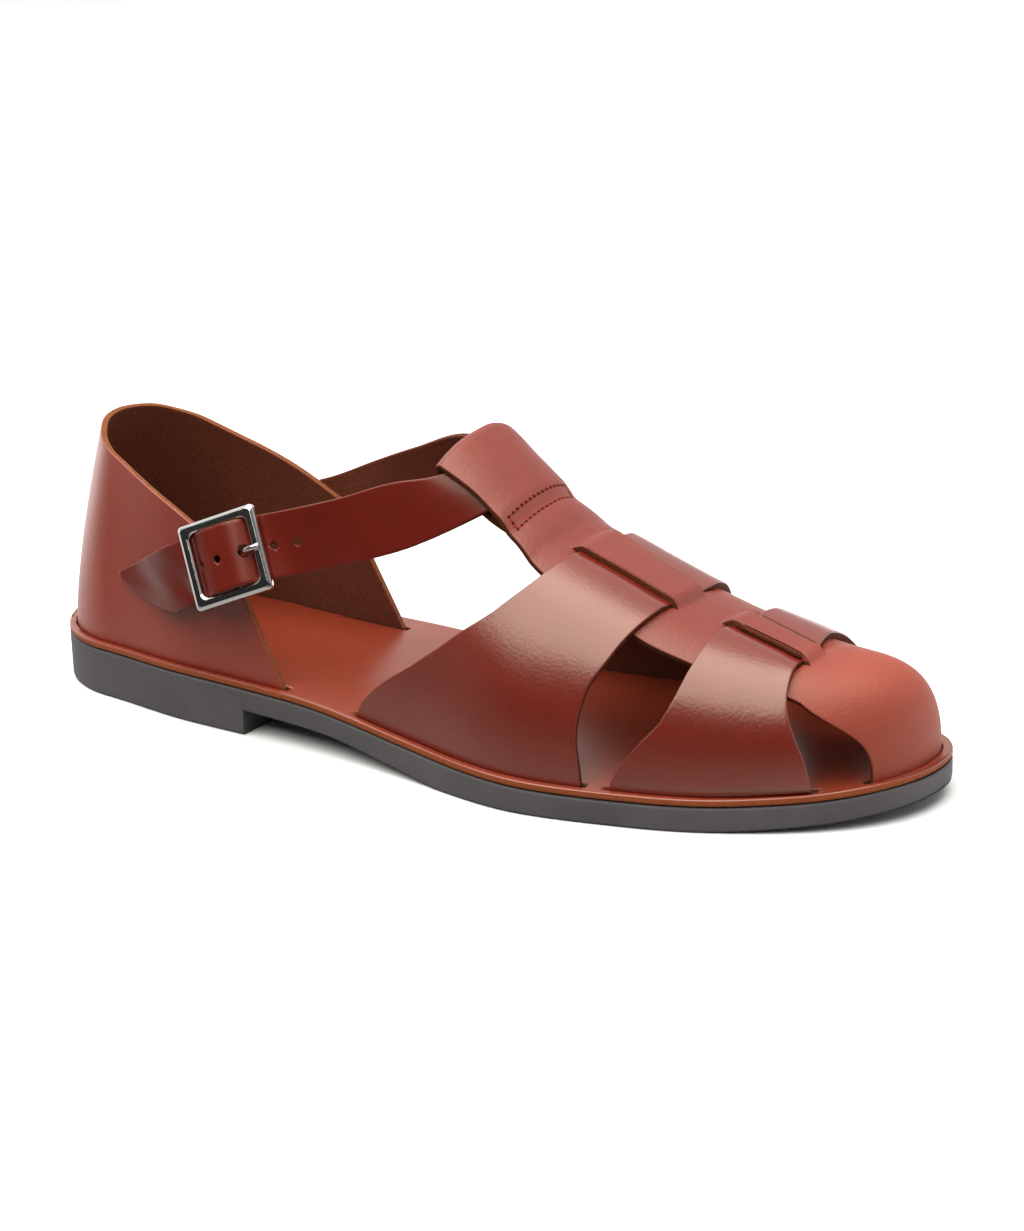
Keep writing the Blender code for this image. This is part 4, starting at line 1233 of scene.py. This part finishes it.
def counter_outside(along, z, side, lift):
    """Point off the outer face of the counter's side, by its place and height."""
    low, high = HALVING_FROM, 1.0
    for _ in range(HALVINGS):
        part = (low + high) / 2
        point, inward = heel_plan(side * part)
        rise = z - topsole_top(point.x)
        lean = counter_lean(part, rise)
        if (point + inward * lean).x < along:
            low = part
        else:
            high = part
    plan = point + inward * (lean - LEATHER / 2 - lift)
    return Vector((along, plan.y, z))


# Buckle, in its own frame: along the strap, up across it and off the foot
along_axis = Vector(BUCKLE_ALONG).normalized()
off_axis = along_axis.cross(Vector(BUCKLE_UP)).normalized()
up_axis = off_axis.cross(along_axis)


def buckle_point(along, up, off):
    centre = Vector(BUCKLE_AT)
    return centre + along_axis * along + up_axis * up + off_axis * off


# Section of the frame's bar from its back edge outside to its back edge inside:
# how far in from the outside, height off the middle and rounding of its corners
BAR_SECTION = named_rows(
    "inset height corner",
    (0.25, -1.1, 1.0),
    (0.0, -0.8, 1.2),
    (0.0, 0.2, 1.2),
    (0.12, 0.42, 1.2),
    (0.85, 1.0, 1.3),
    (1.02, 1.08, 1.4),
    (2.38, 1.1, 1.9),
    (2.55, 1.03, 2.0),
    (2.88, 0.7, 2.2),
    (2.95, 0.5, 2.2),
    (2.95, -0.8, 2.2),
    (2.75, -1.1, 2.1),
)


def rounded_square(long, high, corner):
    """Points round a rectangle with rounded corners, the same number for each size."""
    points = []
    corners = ((1, -1, -90), (1, 1, 0), (-1, 1, 90), (-1, -1, 180))
    for x, y, start in corners:
        middle = Vector((x * (long / 2 - corner), y * (high / 2 - corner)))
        for step in range(CORNER_STEPS + 1):
            turn = math.radians(start + 90 * step / CORNER_STEPS)
            points.append(middle + Vector((math.cos(turn), math.sin(turn))) * corner)
    full = []
    for k, point in enumerate(points):
        full.append(point)
        if k % (CORNER_STEPS + 1) == CORNER_STEPS:
            following = points[(k + 1) % len(points)]
            for step in range(1, SIDE_STEPS):
                full.append(point.lerp(following, step / SIDE_STEPS))
    return full


def frame_mesh():
    points = []
    rings = []
    for part in BAR_SECTION:
        long = FRAME_LONG - 2 * part.inset
        high = FRAME_HIGH - 2 * part.inset
        ring = []
        for spot in rounded_square(long, high, part.corner):
            ring.append(len(points))
            points.append(buckle_point(spot.x, spot.y, part.height))
        rings.append(ring)
    faces = []
    for ring, following in zip(rings, rings[1:] + rings[:1]):
        faces += joined(ring, following)
    obj = add_object("buckle_square", points, faces, [0] * len(faces), [nickel])
    soften(obj)
    return obj


buckle_frame = frame_mesh()
post = FRAME_HIGH / 2 - FRAME_BAR / 2
bend = BEND_CUT * BAR_BEND
half_bar = [
    (post, POST_TOP),
    (post, BAR_BEND - BAR_DROP),
    (post - bend, bend - BAR_DROP),
    (post - BAR_BEND, -BAR_DROP),
]
bar_path = [(-up, off) for up, off in half_bar] + half_bar[::-1]
bar_path = [buckle_point(0, up, off) for up, off in bar_path]
centre_bar = tube("centre_bar", bar_path, BAR_RADIUS, BAR_SIDES, nickel)


def spline(points, steps):
    """Points on a smooth curve through the given ones, a number of steps per span."""
    ends = [points[0] * 2 - points[1]] + points + [points[-1] * 2 - points[-2]]
    found = []
    for k in range(1, len(ends) - 2):
        before, start, end, after = ends[k - 1 : k + 3]
        span = (end - start).length
        leave = ((end - before) / max((end - before).length, 1e-6)) * span
        arrive = ((after - start) / max((after - start).length, 1e-6)) * span
        for step in range(steps):
            t = step / steps
            found.append(
                start * ((1 + 2 * t) * (1 - t) ** 2)
                + leave * (t * (1 - t) ** 2)
                + end * (t * t * (3 - 2 * t))
                + arrive * (t * t * (t - 1))
            )
    found.append(points[-1])
    return found


# Prong: hooked round the centre bar, up through the strap and on to the front bar
hook = BAR_RADIUS + GAP + PRONG_RADIUS
prong_path = []
for step in range(HOOK_STEPS + 1):
    turn = math.radians(HOOK_FROM + (HOOK_TO - HOOK_FROM) * step / HOOK_STEPS)
    prong_path.append(buckle_point(hook * math.cos(turn), 0, hook * math.sin(turn) - BAR_DROP))
for spot in PRONG:
    prong_path.append(buckle_point(spot.along, 0, spot.height))
buckle_prong = tube("prong", spline(prong_path, PRONG_STEPS), PRONG_RADIUS, PRONG_SIDES, nickel)


# Chape: strip sewn to the counter, folded round the centre bar and back
chape_ups = [CHAPE_HALF * (2 * i / CHAPE_COLUMNS - 1) for i in range(CHAPE_COLUMNS + 1)]


def chape_sewn_row(sewn, lift):
    row = []
    for up in chape_ups:
        place_x = sewn.x - CHAPE_LEAN * up
        place_z = sewn.z + math.sqrt(1 - CHAPE_LEAN**2) * up
        row.append(counter_outside(place_x, place_z, LATERAL, lift))
    return row


def chape_bar_row(along, off):
    return [buckle_point(along, up, off - BAR_DROP) for up in chape_ups]


wrap = BAR_RADIUS + GAP + CHAPE / 2
chape_rows = [chape_sewn_row(sewn, CHAPE_REST) for sewn in CHAPE_SEWN]
chape_rows += [chape_bar_row(row.along, -wrap - row.sag) for row in CHAPE_BELOW]
first_wrap = CHAPE_STEPS * (len(chape_rows) - 1)
for step in range(CHAPE_TURNS + 1):
    turn = math.pi * (step / CHAPE_TURNS - 0.5)
    chape_rows.append(chape_bar_row(wrap * math.cos(turn), wrap * math.sin(turn)))
last_wrap = CHAPE_STEPS * len(chape_rows)
chape_rows += [chape_bar_row(row.along, wrap - row.sag) for row in CHAPE_ABOVE]
upper_rest = CHAPE_REST + CHAPE + GAP
chape_rows += [chape_sewn_row(sewn, upper_rest) for sewn in reversed(CHAPE_SEWN[1:])]
chape_lines = [spline(list(line), CHAPE_STEPS) for line in zip(*chape_rows)]

bm, place = grid(CHAPE_COLUMNS, len(chape_lines[0]) - 1)
opened = []
for face in bm.faces:
    spots = [place[vertex] for vertex in face.verts]
    in_middle = all(CHAPE_SLOT[0] <= i <= CHAPE_SLOT[1] for i, j in spots)
    at_wrap = all(first_wrap <= j <= last_wrap for i, j in spots)
    if in_middle and at_wrap:
        opened.append(face)
for vertex, (i, j) in place.items():
    vertex.co = chape_lines[i][j]
bmesh.ops.delete(bm, geom=opened, context="FACES")
buckle_chape = leather_shell("chape", bm, CHAPE, [strap_grain, flesh, cut_edge])

# Ankle strap: sewn end inside, over the foot, through the loop and the buckle
strap_shares = [-1 + 2 * i / STRAP_COLUMNS for i in range(STRAP_COLUMNS + 1)]


def run_row(run):
    middle = Vector((run.x, run.y, run.z))
    down = Vector((run.down_x, run.down_y, run.down_z)).normalized()
    return [middle + down * (STRAP_HALF * share) for share in strap_shares]


def buckle_row(spot):
    ups = [spot.up - STRAP_HALF * share for share in strap_shares]
    return [buckle_point(spot.along, up, spot.height) for up in ups]


def anchor_point(along, share):
    reach = STRAP_HALF * share
    upright = math.sqrt(1 - ANCHOR_LEAN**2)
    x = along + ANCHOR_LEAN * reach
    z = ANCHOR_HEIGHT + ANCHOR_SLOPE * (along - ANCHOR_FRONT) - upright * reach
    return counter_outside(x, z, MEDIAL, STRAP / 2 + GAP)


def loop_row(out):
    y = strip_across(LOOP_STRAP, 0) + out
    lift = LEATHER + GAP + SLACK + STRAP / 2
    front = LOOP_STRAP + STRAP_SPREAD
    rear = LOOP_STRAP - STRAP_SPREAD + LOOP_SKEW * (1 - out / LOOP_CROSSING[0]) / 2
    return [on_form(rear + (front - rear) * (share + 1) / 2, y, lift) for share in strap_shares]


def tail_end(share):
    """Length of the tail beyond the buckle, cut back towards its lower edge."""
    lower = (share + 1) / 2
    corner = TAIL_CORNER * max(lower - TAIL_CORNER_FROM, 0) / (1 - TAIL_CORNER_FROM)
    tip = TAIL_TIP * max(TAIL_TIP_TO - lower, 0) / TAIL_TIP_TO
    return TAIL_LONG - TAIL_CUT * lower - corner - tip


def tail_row(part):
    row = []
    start = buckle_point(BUCKLE_PASS[-1].along, 0, 0)
    rise = math.sqrt(1 - TAIL_SLOPE**2)
    for share in strap_shares:
        reach = tail_end(share) * part
        x = start.x - rise * reach + TAIL_SLOPE * STRAP_HALF * share
        z = start.z - TAIL_SLOPE * reach - rise * STRAP_HALF * share
        lift = TAIL_LIFT + (TAIL_REST - TAIL_LIFT) * ease((reach - TAIL_LEVEL) / TAIL_FALL)
        row.append(counter_outside(x, z, LATERAL, lift))
    return row


strap_rows = []
for along in np.linspace(ANCHOR_END, ANCHOR_FRONT, ANCHOR_ROWS):
    strap_rows.append([anchor_point(float(along), share) for share in strap_shares])
strap_rows += [run_row(run) for run in reversed(MEDIAL_RUN)]
strap_rows += [loop_row(out) for out in LOOP_CROSSING]
strap_rows += [run_row(run) for run in LATERAL_RUN]
strap_rows += [buckle_row(spot) for spot in BUCKLE_PASS]
strap_rows += [tail_row(part) for part in TAIL_PARTS]
lines = [spline(list(line), STRAP_STEPS) for line in zip(*strap_rows)]


def strap_point(i, j):
    return lines[i][j]


finish = [strap_grain, flesh, cut_edge]
ankle_strap = sheet("strap", STRAP_COLUMNS, len(lines[0]) - 1, strap_point, STRAP, finish)


def strap_hole(name, along, radius):
    """Cutter through the strap at a place along the buckle's axis."""
    middle = lines[STRAP_COLUMNS // 2]
    places = [(point - Vector(BUCKLE_AT)).dot(along_axis) for point in middle]
    passed = STRAP_STEPS * (len(MEDIAL_RUN) + ANCHOR_ROWS + len(LOOP_CROSSING))
    nearest = min(range(passed, len(middle) - 1), key=lambda j: abs(places[j] - along))
    run = (middle[nearest + 1] - middle[nearest - 1]).normalized()
    side = (lines[-1][nearest] - lines[0][nearest]).normalized()
    normal = run.cross(side).normalized()
    point = middle[nearest] + run * ((along - places[nearest]) / run.dot(along_axis))
    point += side * HOLE_ASIDE
    path = [point - normal * HOLE_REACH, point, point + normal * HOLE_REACH]
    return tube(name, path, radius, HOLE_SIDES, cut_edge)


punches = [strap_hole("hole_prong", PRONG_HOLE_AT, PRONG_HOLE_RADIUS)]
for number, along in enumerate(STRAP_HOLES):
    punches.append(strap_hole(f"hole_{number}", along, STRAP_HOLE_RADIUS))
cut_away(ankle_strap, punches)


# Stitching
def stitch_line(places, pitch):
    """Even places along a line of (point, normal), about one pitch apart."""
    reach = [0.0]
    for (first, _), (second, _) in zip(places[:-1], places[1:]):
        reach.append(reach[-1] + (second - first).length)
    count = max(round(reach[-1] / pitch), 1)
    found = []
    for k in range(count + 1):
        target = reach[-1] * k / count
        i = min(max(bisect_right(reach, target) - 1, 0), len(reach) - 2)
        t = (target - reach[i]) / (reach[i + 1] - reach[i])
        point = places[i][0].lerp(places[i + 1][0], t)
        normal = places[i][1].lerp(places[i + 1][1], t).normalized()
        found.append((point, normal))
    return found


def add_ball(points, faces, centre, axes_of, steps):
    """Ellipsoid with three given half-axes."""
    wide = 2 * steps
    bottom = len(points)
    top = bottom + 1
    points.append(centre - axes_of[2])
    points.append(centre + axes_of[2])
    first = len(points)
    for j in range(1, steps):
        lift = math.pi * (j / steps - 0.5)
        for i in range(wide):
            turn = math.pi * i / steps
            x = math.cos(lift) * math.cos(turn)
            y = math.cos(lift) * math.sin(turn)
            points.append(centre + axes_of[0] * x + axes_of[1] * y + axes_of[2] * math.sin(lift))
    last = first + (steps - 2) * wide
    for i in range(wide):
        k = (i + 1) % wide
        faces.append([bottom, first + k, first + i])
        for low in range(first, last, wide):
            faces.append([low + i, low + k, low + wide + k, low + wide + i])
        faces.append([last + i, last + k, top])


def stitching(name, rows_of_places):
    """Thread along each row, with dark discs of painted shade at its needle holes."""
    points = []
    faces = []
    slots_of = []
    hole_shades = []
    for places in rows_of_places:
        spots = stitch_line(places, STITCH_PITCH)
        for (first, up_first), (second, up_second) in zip(spots[:-1], spots[1:]):
            run = (second - first).normalized()
            up = (up_first + up_second).normalized()
            side = up.cross(run).normalized()
            axes_of = (run * (STITCH_LONG / 2), side * STITCH_WIDE, up * STITCH_RISE)
            add_ball(points, faces, first.lerp(second, 0.5), axes_of, STITCH_STEPS)
        slots_of += [0] * (len(faces) - len(slots_of))
        for point, up in spots:
            # Rows share the painted shade discs of the needle holes at their corners
            if any((point - other).length < NEEDLE_SHADE_RADIUS for other in hole_shades):
                continue
            hole_shades.append(point)
            run = up.orthogonal().normalized()
            side = up.cross(run)
            axes_of = (run * NEEDLE_SHADE_RADIUS, side * NEEDLE_SHADE_RADIUS, up * NEEDLE_SHADE_RISE)
            add_ball(points, faces, point, axes_of, NEEDLE_STEPS)
        slots_of += [1] * (len(faces) - len(slots_of))
    return add_object(name, points, faces, slots_of, [thread, needle_hole_shade])


def on_strip_top(along, share):
    """Point on the grain side of the loop and its normal."""
    here = strip_point(top_row(along), share, False)
    ahead = strip_point(top_row(along + STEP_ALONG), share, False)
    aside = strip_point(top_row(along), share + LOOP_STEP_ASIDE, False)
    normal = (ahead - here).cross(aside - here).normalized()
    return here + normal * (LEATHER / 2), normal


def on_anchor(along, share):
    """Point on the grain side of the strap's sewn end and its normal."""
    here = anchor_point(along, share)
    ahead = anchor_point(along + STEP_ALONG, share)
    aside = anchor_point(along, share - ANCHOR_STEP_ASIDE)
    normal = (ahead - here).cross(aside - here).normalized()
    if normal.y < 0:
        normal = -normal
    return here + normal * (STRAP / 2), normal


def sewn_box(name, at, alongs, shares, points_along):
    """Stitches on the four sides of a box, given the place of a point in it."""
    rows = []
    for along in alongs:
        rows.append([at(along, share) for share in np.linspace(*shares, POINTS_ACROSS)])
    for share in shares:
        rows.append([at(float(along), share) for along in np.linspace(*alongs, points_along)])
    return stitching(name, rows)


box = (LOOP_ROWS_AT, LOOP_ROW_ENDS, LOOP_POINTS_ALONG)
loop_stitches = sewn_box("loop_stitches", on_strip_top, *box)
box = (ANCHOR_ROWS_AT, ANCHOR_ROW_ENDS, ANCHOR_POINTS_ALONG)
anchor_stitches = sewn_box("anchor_stitches", on_anchor, *box)

# What each piece stands for, and a slot that is listed but not used; each piece is hung under the
# root and the part it stands for is hidden
Piece = namedtuple("Piece", "obj node slot")
PIECES = [
    Piece(outsole, "outsole", "outsole"),
    Piece(topsole, "topsole", "topsole"),
    Piece(centre_strip, "upper", "upper"),
    Piece(rear_band, "upper", "upper"),
    Piece(front_band, "upper", "upper"),
    Piece(heel_counter, "heel_counter", "heel_counter"),
    Piece(ankle_strap, "ankle_strap", "ankle_strap"),
    Piece(buckle_frame, "buckle_frame", "buckle"),
    Piece(centre_bar, "buckle_frame", "buckle"),
    Piece(buckle_prong, "buckle_prong", "buckle"),
    Piece(buckle_chape, "buckle_chape", "chape"),
    Piece(loop_stitches, None, "upper"),
    Piece(anchor_stitches, None, "ankle_strap"),
]
for piece in PIECES:
    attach(piece.obj, "root")
    if piece.node:
        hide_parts(piece.node)

# Floor: pale to the camera, and dark in front where it would wash out the leather
FLOOR_LOW = (-1.6, -0.3)
FLOOR_HIGH = (1.6, 3.0)
FLOOR_WHITE = (0.85, 0.85, 0.85)
FLOOR_BOUNCE = (0.1, 0.1, 0.1)  # what the shoe sees of it in front
FLOOR_DARK_TO = -0.12  # from here backward it gets paler
FLOOR_PALE_FROM = 0.08
FLOOR_GLOW_FROM = 0.18  # metres from the shoe where the floor starts to burn out to white
FLOOR_GLOW_TO = 0.6
left, front = FLOOR_LOW
right, rear = FLOOR_HIGH
corners = [(left, front, 0.0), (right, front, 0.0), (right, rear, 0.0), (left, rear, 0.0)]
sheet_of_paper = bpy.data.meshes.new("floor")
sheet_of_paper.from_pydata(corners, [], [(0, 1, 2, 3)])
floor = bpy.data.objects.new("floor", sheet_of_paper)
bpy.context.scene.collection.objects.link(floor)
paper, tree, shader = new_material("white floor")
place = own_place(tree)
behind = add_node(tree, "SeparateXYZ", {"Vector": place}, "Y")
behind = moved_range(tree, behind, FLOOR_DARK_TO, FLOOR_PALE_FROM)
bounced = ramp(tree, behind, FLOOR_BOUNCE, FLOOR_WHITE, 0.0, 1.0)
seen = add_node(tree, "LightPath", {}, "Is Camera Ray")
reach = add_node(tree, "VectorMath", {0: place}, "Value", operation="LENGTH")
glow = moved_range(tree, reach, FLOOR_GLOW_FROM, FLOOR_GLOW_TO)
fill(tree, shader, {"Base Color": mixed(tree, seen, bounced, (*FLOOR_WHITE, 1))})
fill(tree, shader, {"Roughness": 0.9, "Specular IOR Level": 0.1, "Emission Color": WHITE})
fill(tree, shader, {"Emission Strength": maths(tree, "MULTIPLY", glow, behind)})
floor.data.materials.append(paper)

# Light
SOFTBOX_AT = (-0.05, -0.62, 1.15)
SOFTBOX_SIZE = (1.8, 2.1)
SOFTBOX_POWER = 48.0
SOFTBOX_COLOUR = (1.0, 0.98, 0.94)
box_light = bpy.data.lights.new("softbox", "AREA")
box_light.shape = "RECTANGLE"
box_light.size, box_light.size_y = SOFTBOX_SIZE
box_light.energy = SOFTBOX_POWER
box_light.color = SOFTBOX_COLOUR
softbox = bpy.data.objects.new("softbox", box_light)
softbox.location = SOFTBOX_AT
bpy.context.scene.collection.objects.link(softbox)

# Room: bright behind the shoe and past its heel, dark on the camera's side, and
# white where the camera sees it
ROOM_DARK = 0.02
ROOM_BEHIND = 0.85
ROOM_BEHIND_ENDS = (-0.45, 0.2)  # directions between which it goes from dark to bright
ROOM_PAST_HEEL = 0.5
ROOM_HEEL_ENDS = (-0.5, -0.9)
world = bpy.data.worlds.new("studio")
world.use_nodes = True
bpy.context.scene.world = world
tree = world.node_tree
heading = add_node(tree, "TexCoord", {}, "Generated")
behind = add_node(tree, "SeparateXYZ", {"Vector": heading}, "Y")
behind = moved_range(tree, behind, *ROOM_BEHIND_ENDS, ROOM_DARK, ROOM_BEHIND)
past_heel = add_node(tree, "SeparateXYZ", {"Vector": heading}, "X")
past_heel = moved_range(tree, past_heel, *ROOM_HEEL_ENDS, 0.0, ROOM_PAST_HEEL)
strength = maths(tree, "ADD", behind, past_heel)
fill(tree, tree.nodes["Background"], {"Color": WHITE, "Strength": strength})
room = tree.nodes["Background"].outputs["Background"]
white = add_node(tree, "Background", {"Color": WHITE}, "Background")
seen = add_node(tree, "LightPath", {}, "Is Camera Ray")
choice = add_node(tree, "MixShader", {"Fac": seen, 1: room, 2: white}, "Shader")
fill(tree, tree.nodes["World Output"], {"Surface": choice})

# Camera
CAMERA_AT = Vector((0.41512, -0.59111, 0.27284))
CAMERA_TARGET = Vector((0.0155, -0.0002, 0.036))
CAMERA_UP = Vector((-0.11249, 0.21658, 0.96976))
LENS = 78.0
SENSOR = 36.0
camera_data = bpy.data.cameras.new("camera")
camera_data.sensor_width = SENSOR
camera_data.lens = LENS
camera = bpy.data.objects.new("camera", camera_data)
back = (CAMERA_AT - CAMERA_TARGET).normalized()
right = CAMERA_UP.cross(back).normalized()
turned = Matrix((right, back.cross(right), back)).transposed().to_4x4()
camera.matrix_world = Matrix.Translation(CAMERA_AT) @ turned
bpy.context.scene.collection.objects.link(camera)
bpy.context.scene.camera = camera
bpy.context.scene.view_settings.view_transform = "Standard"
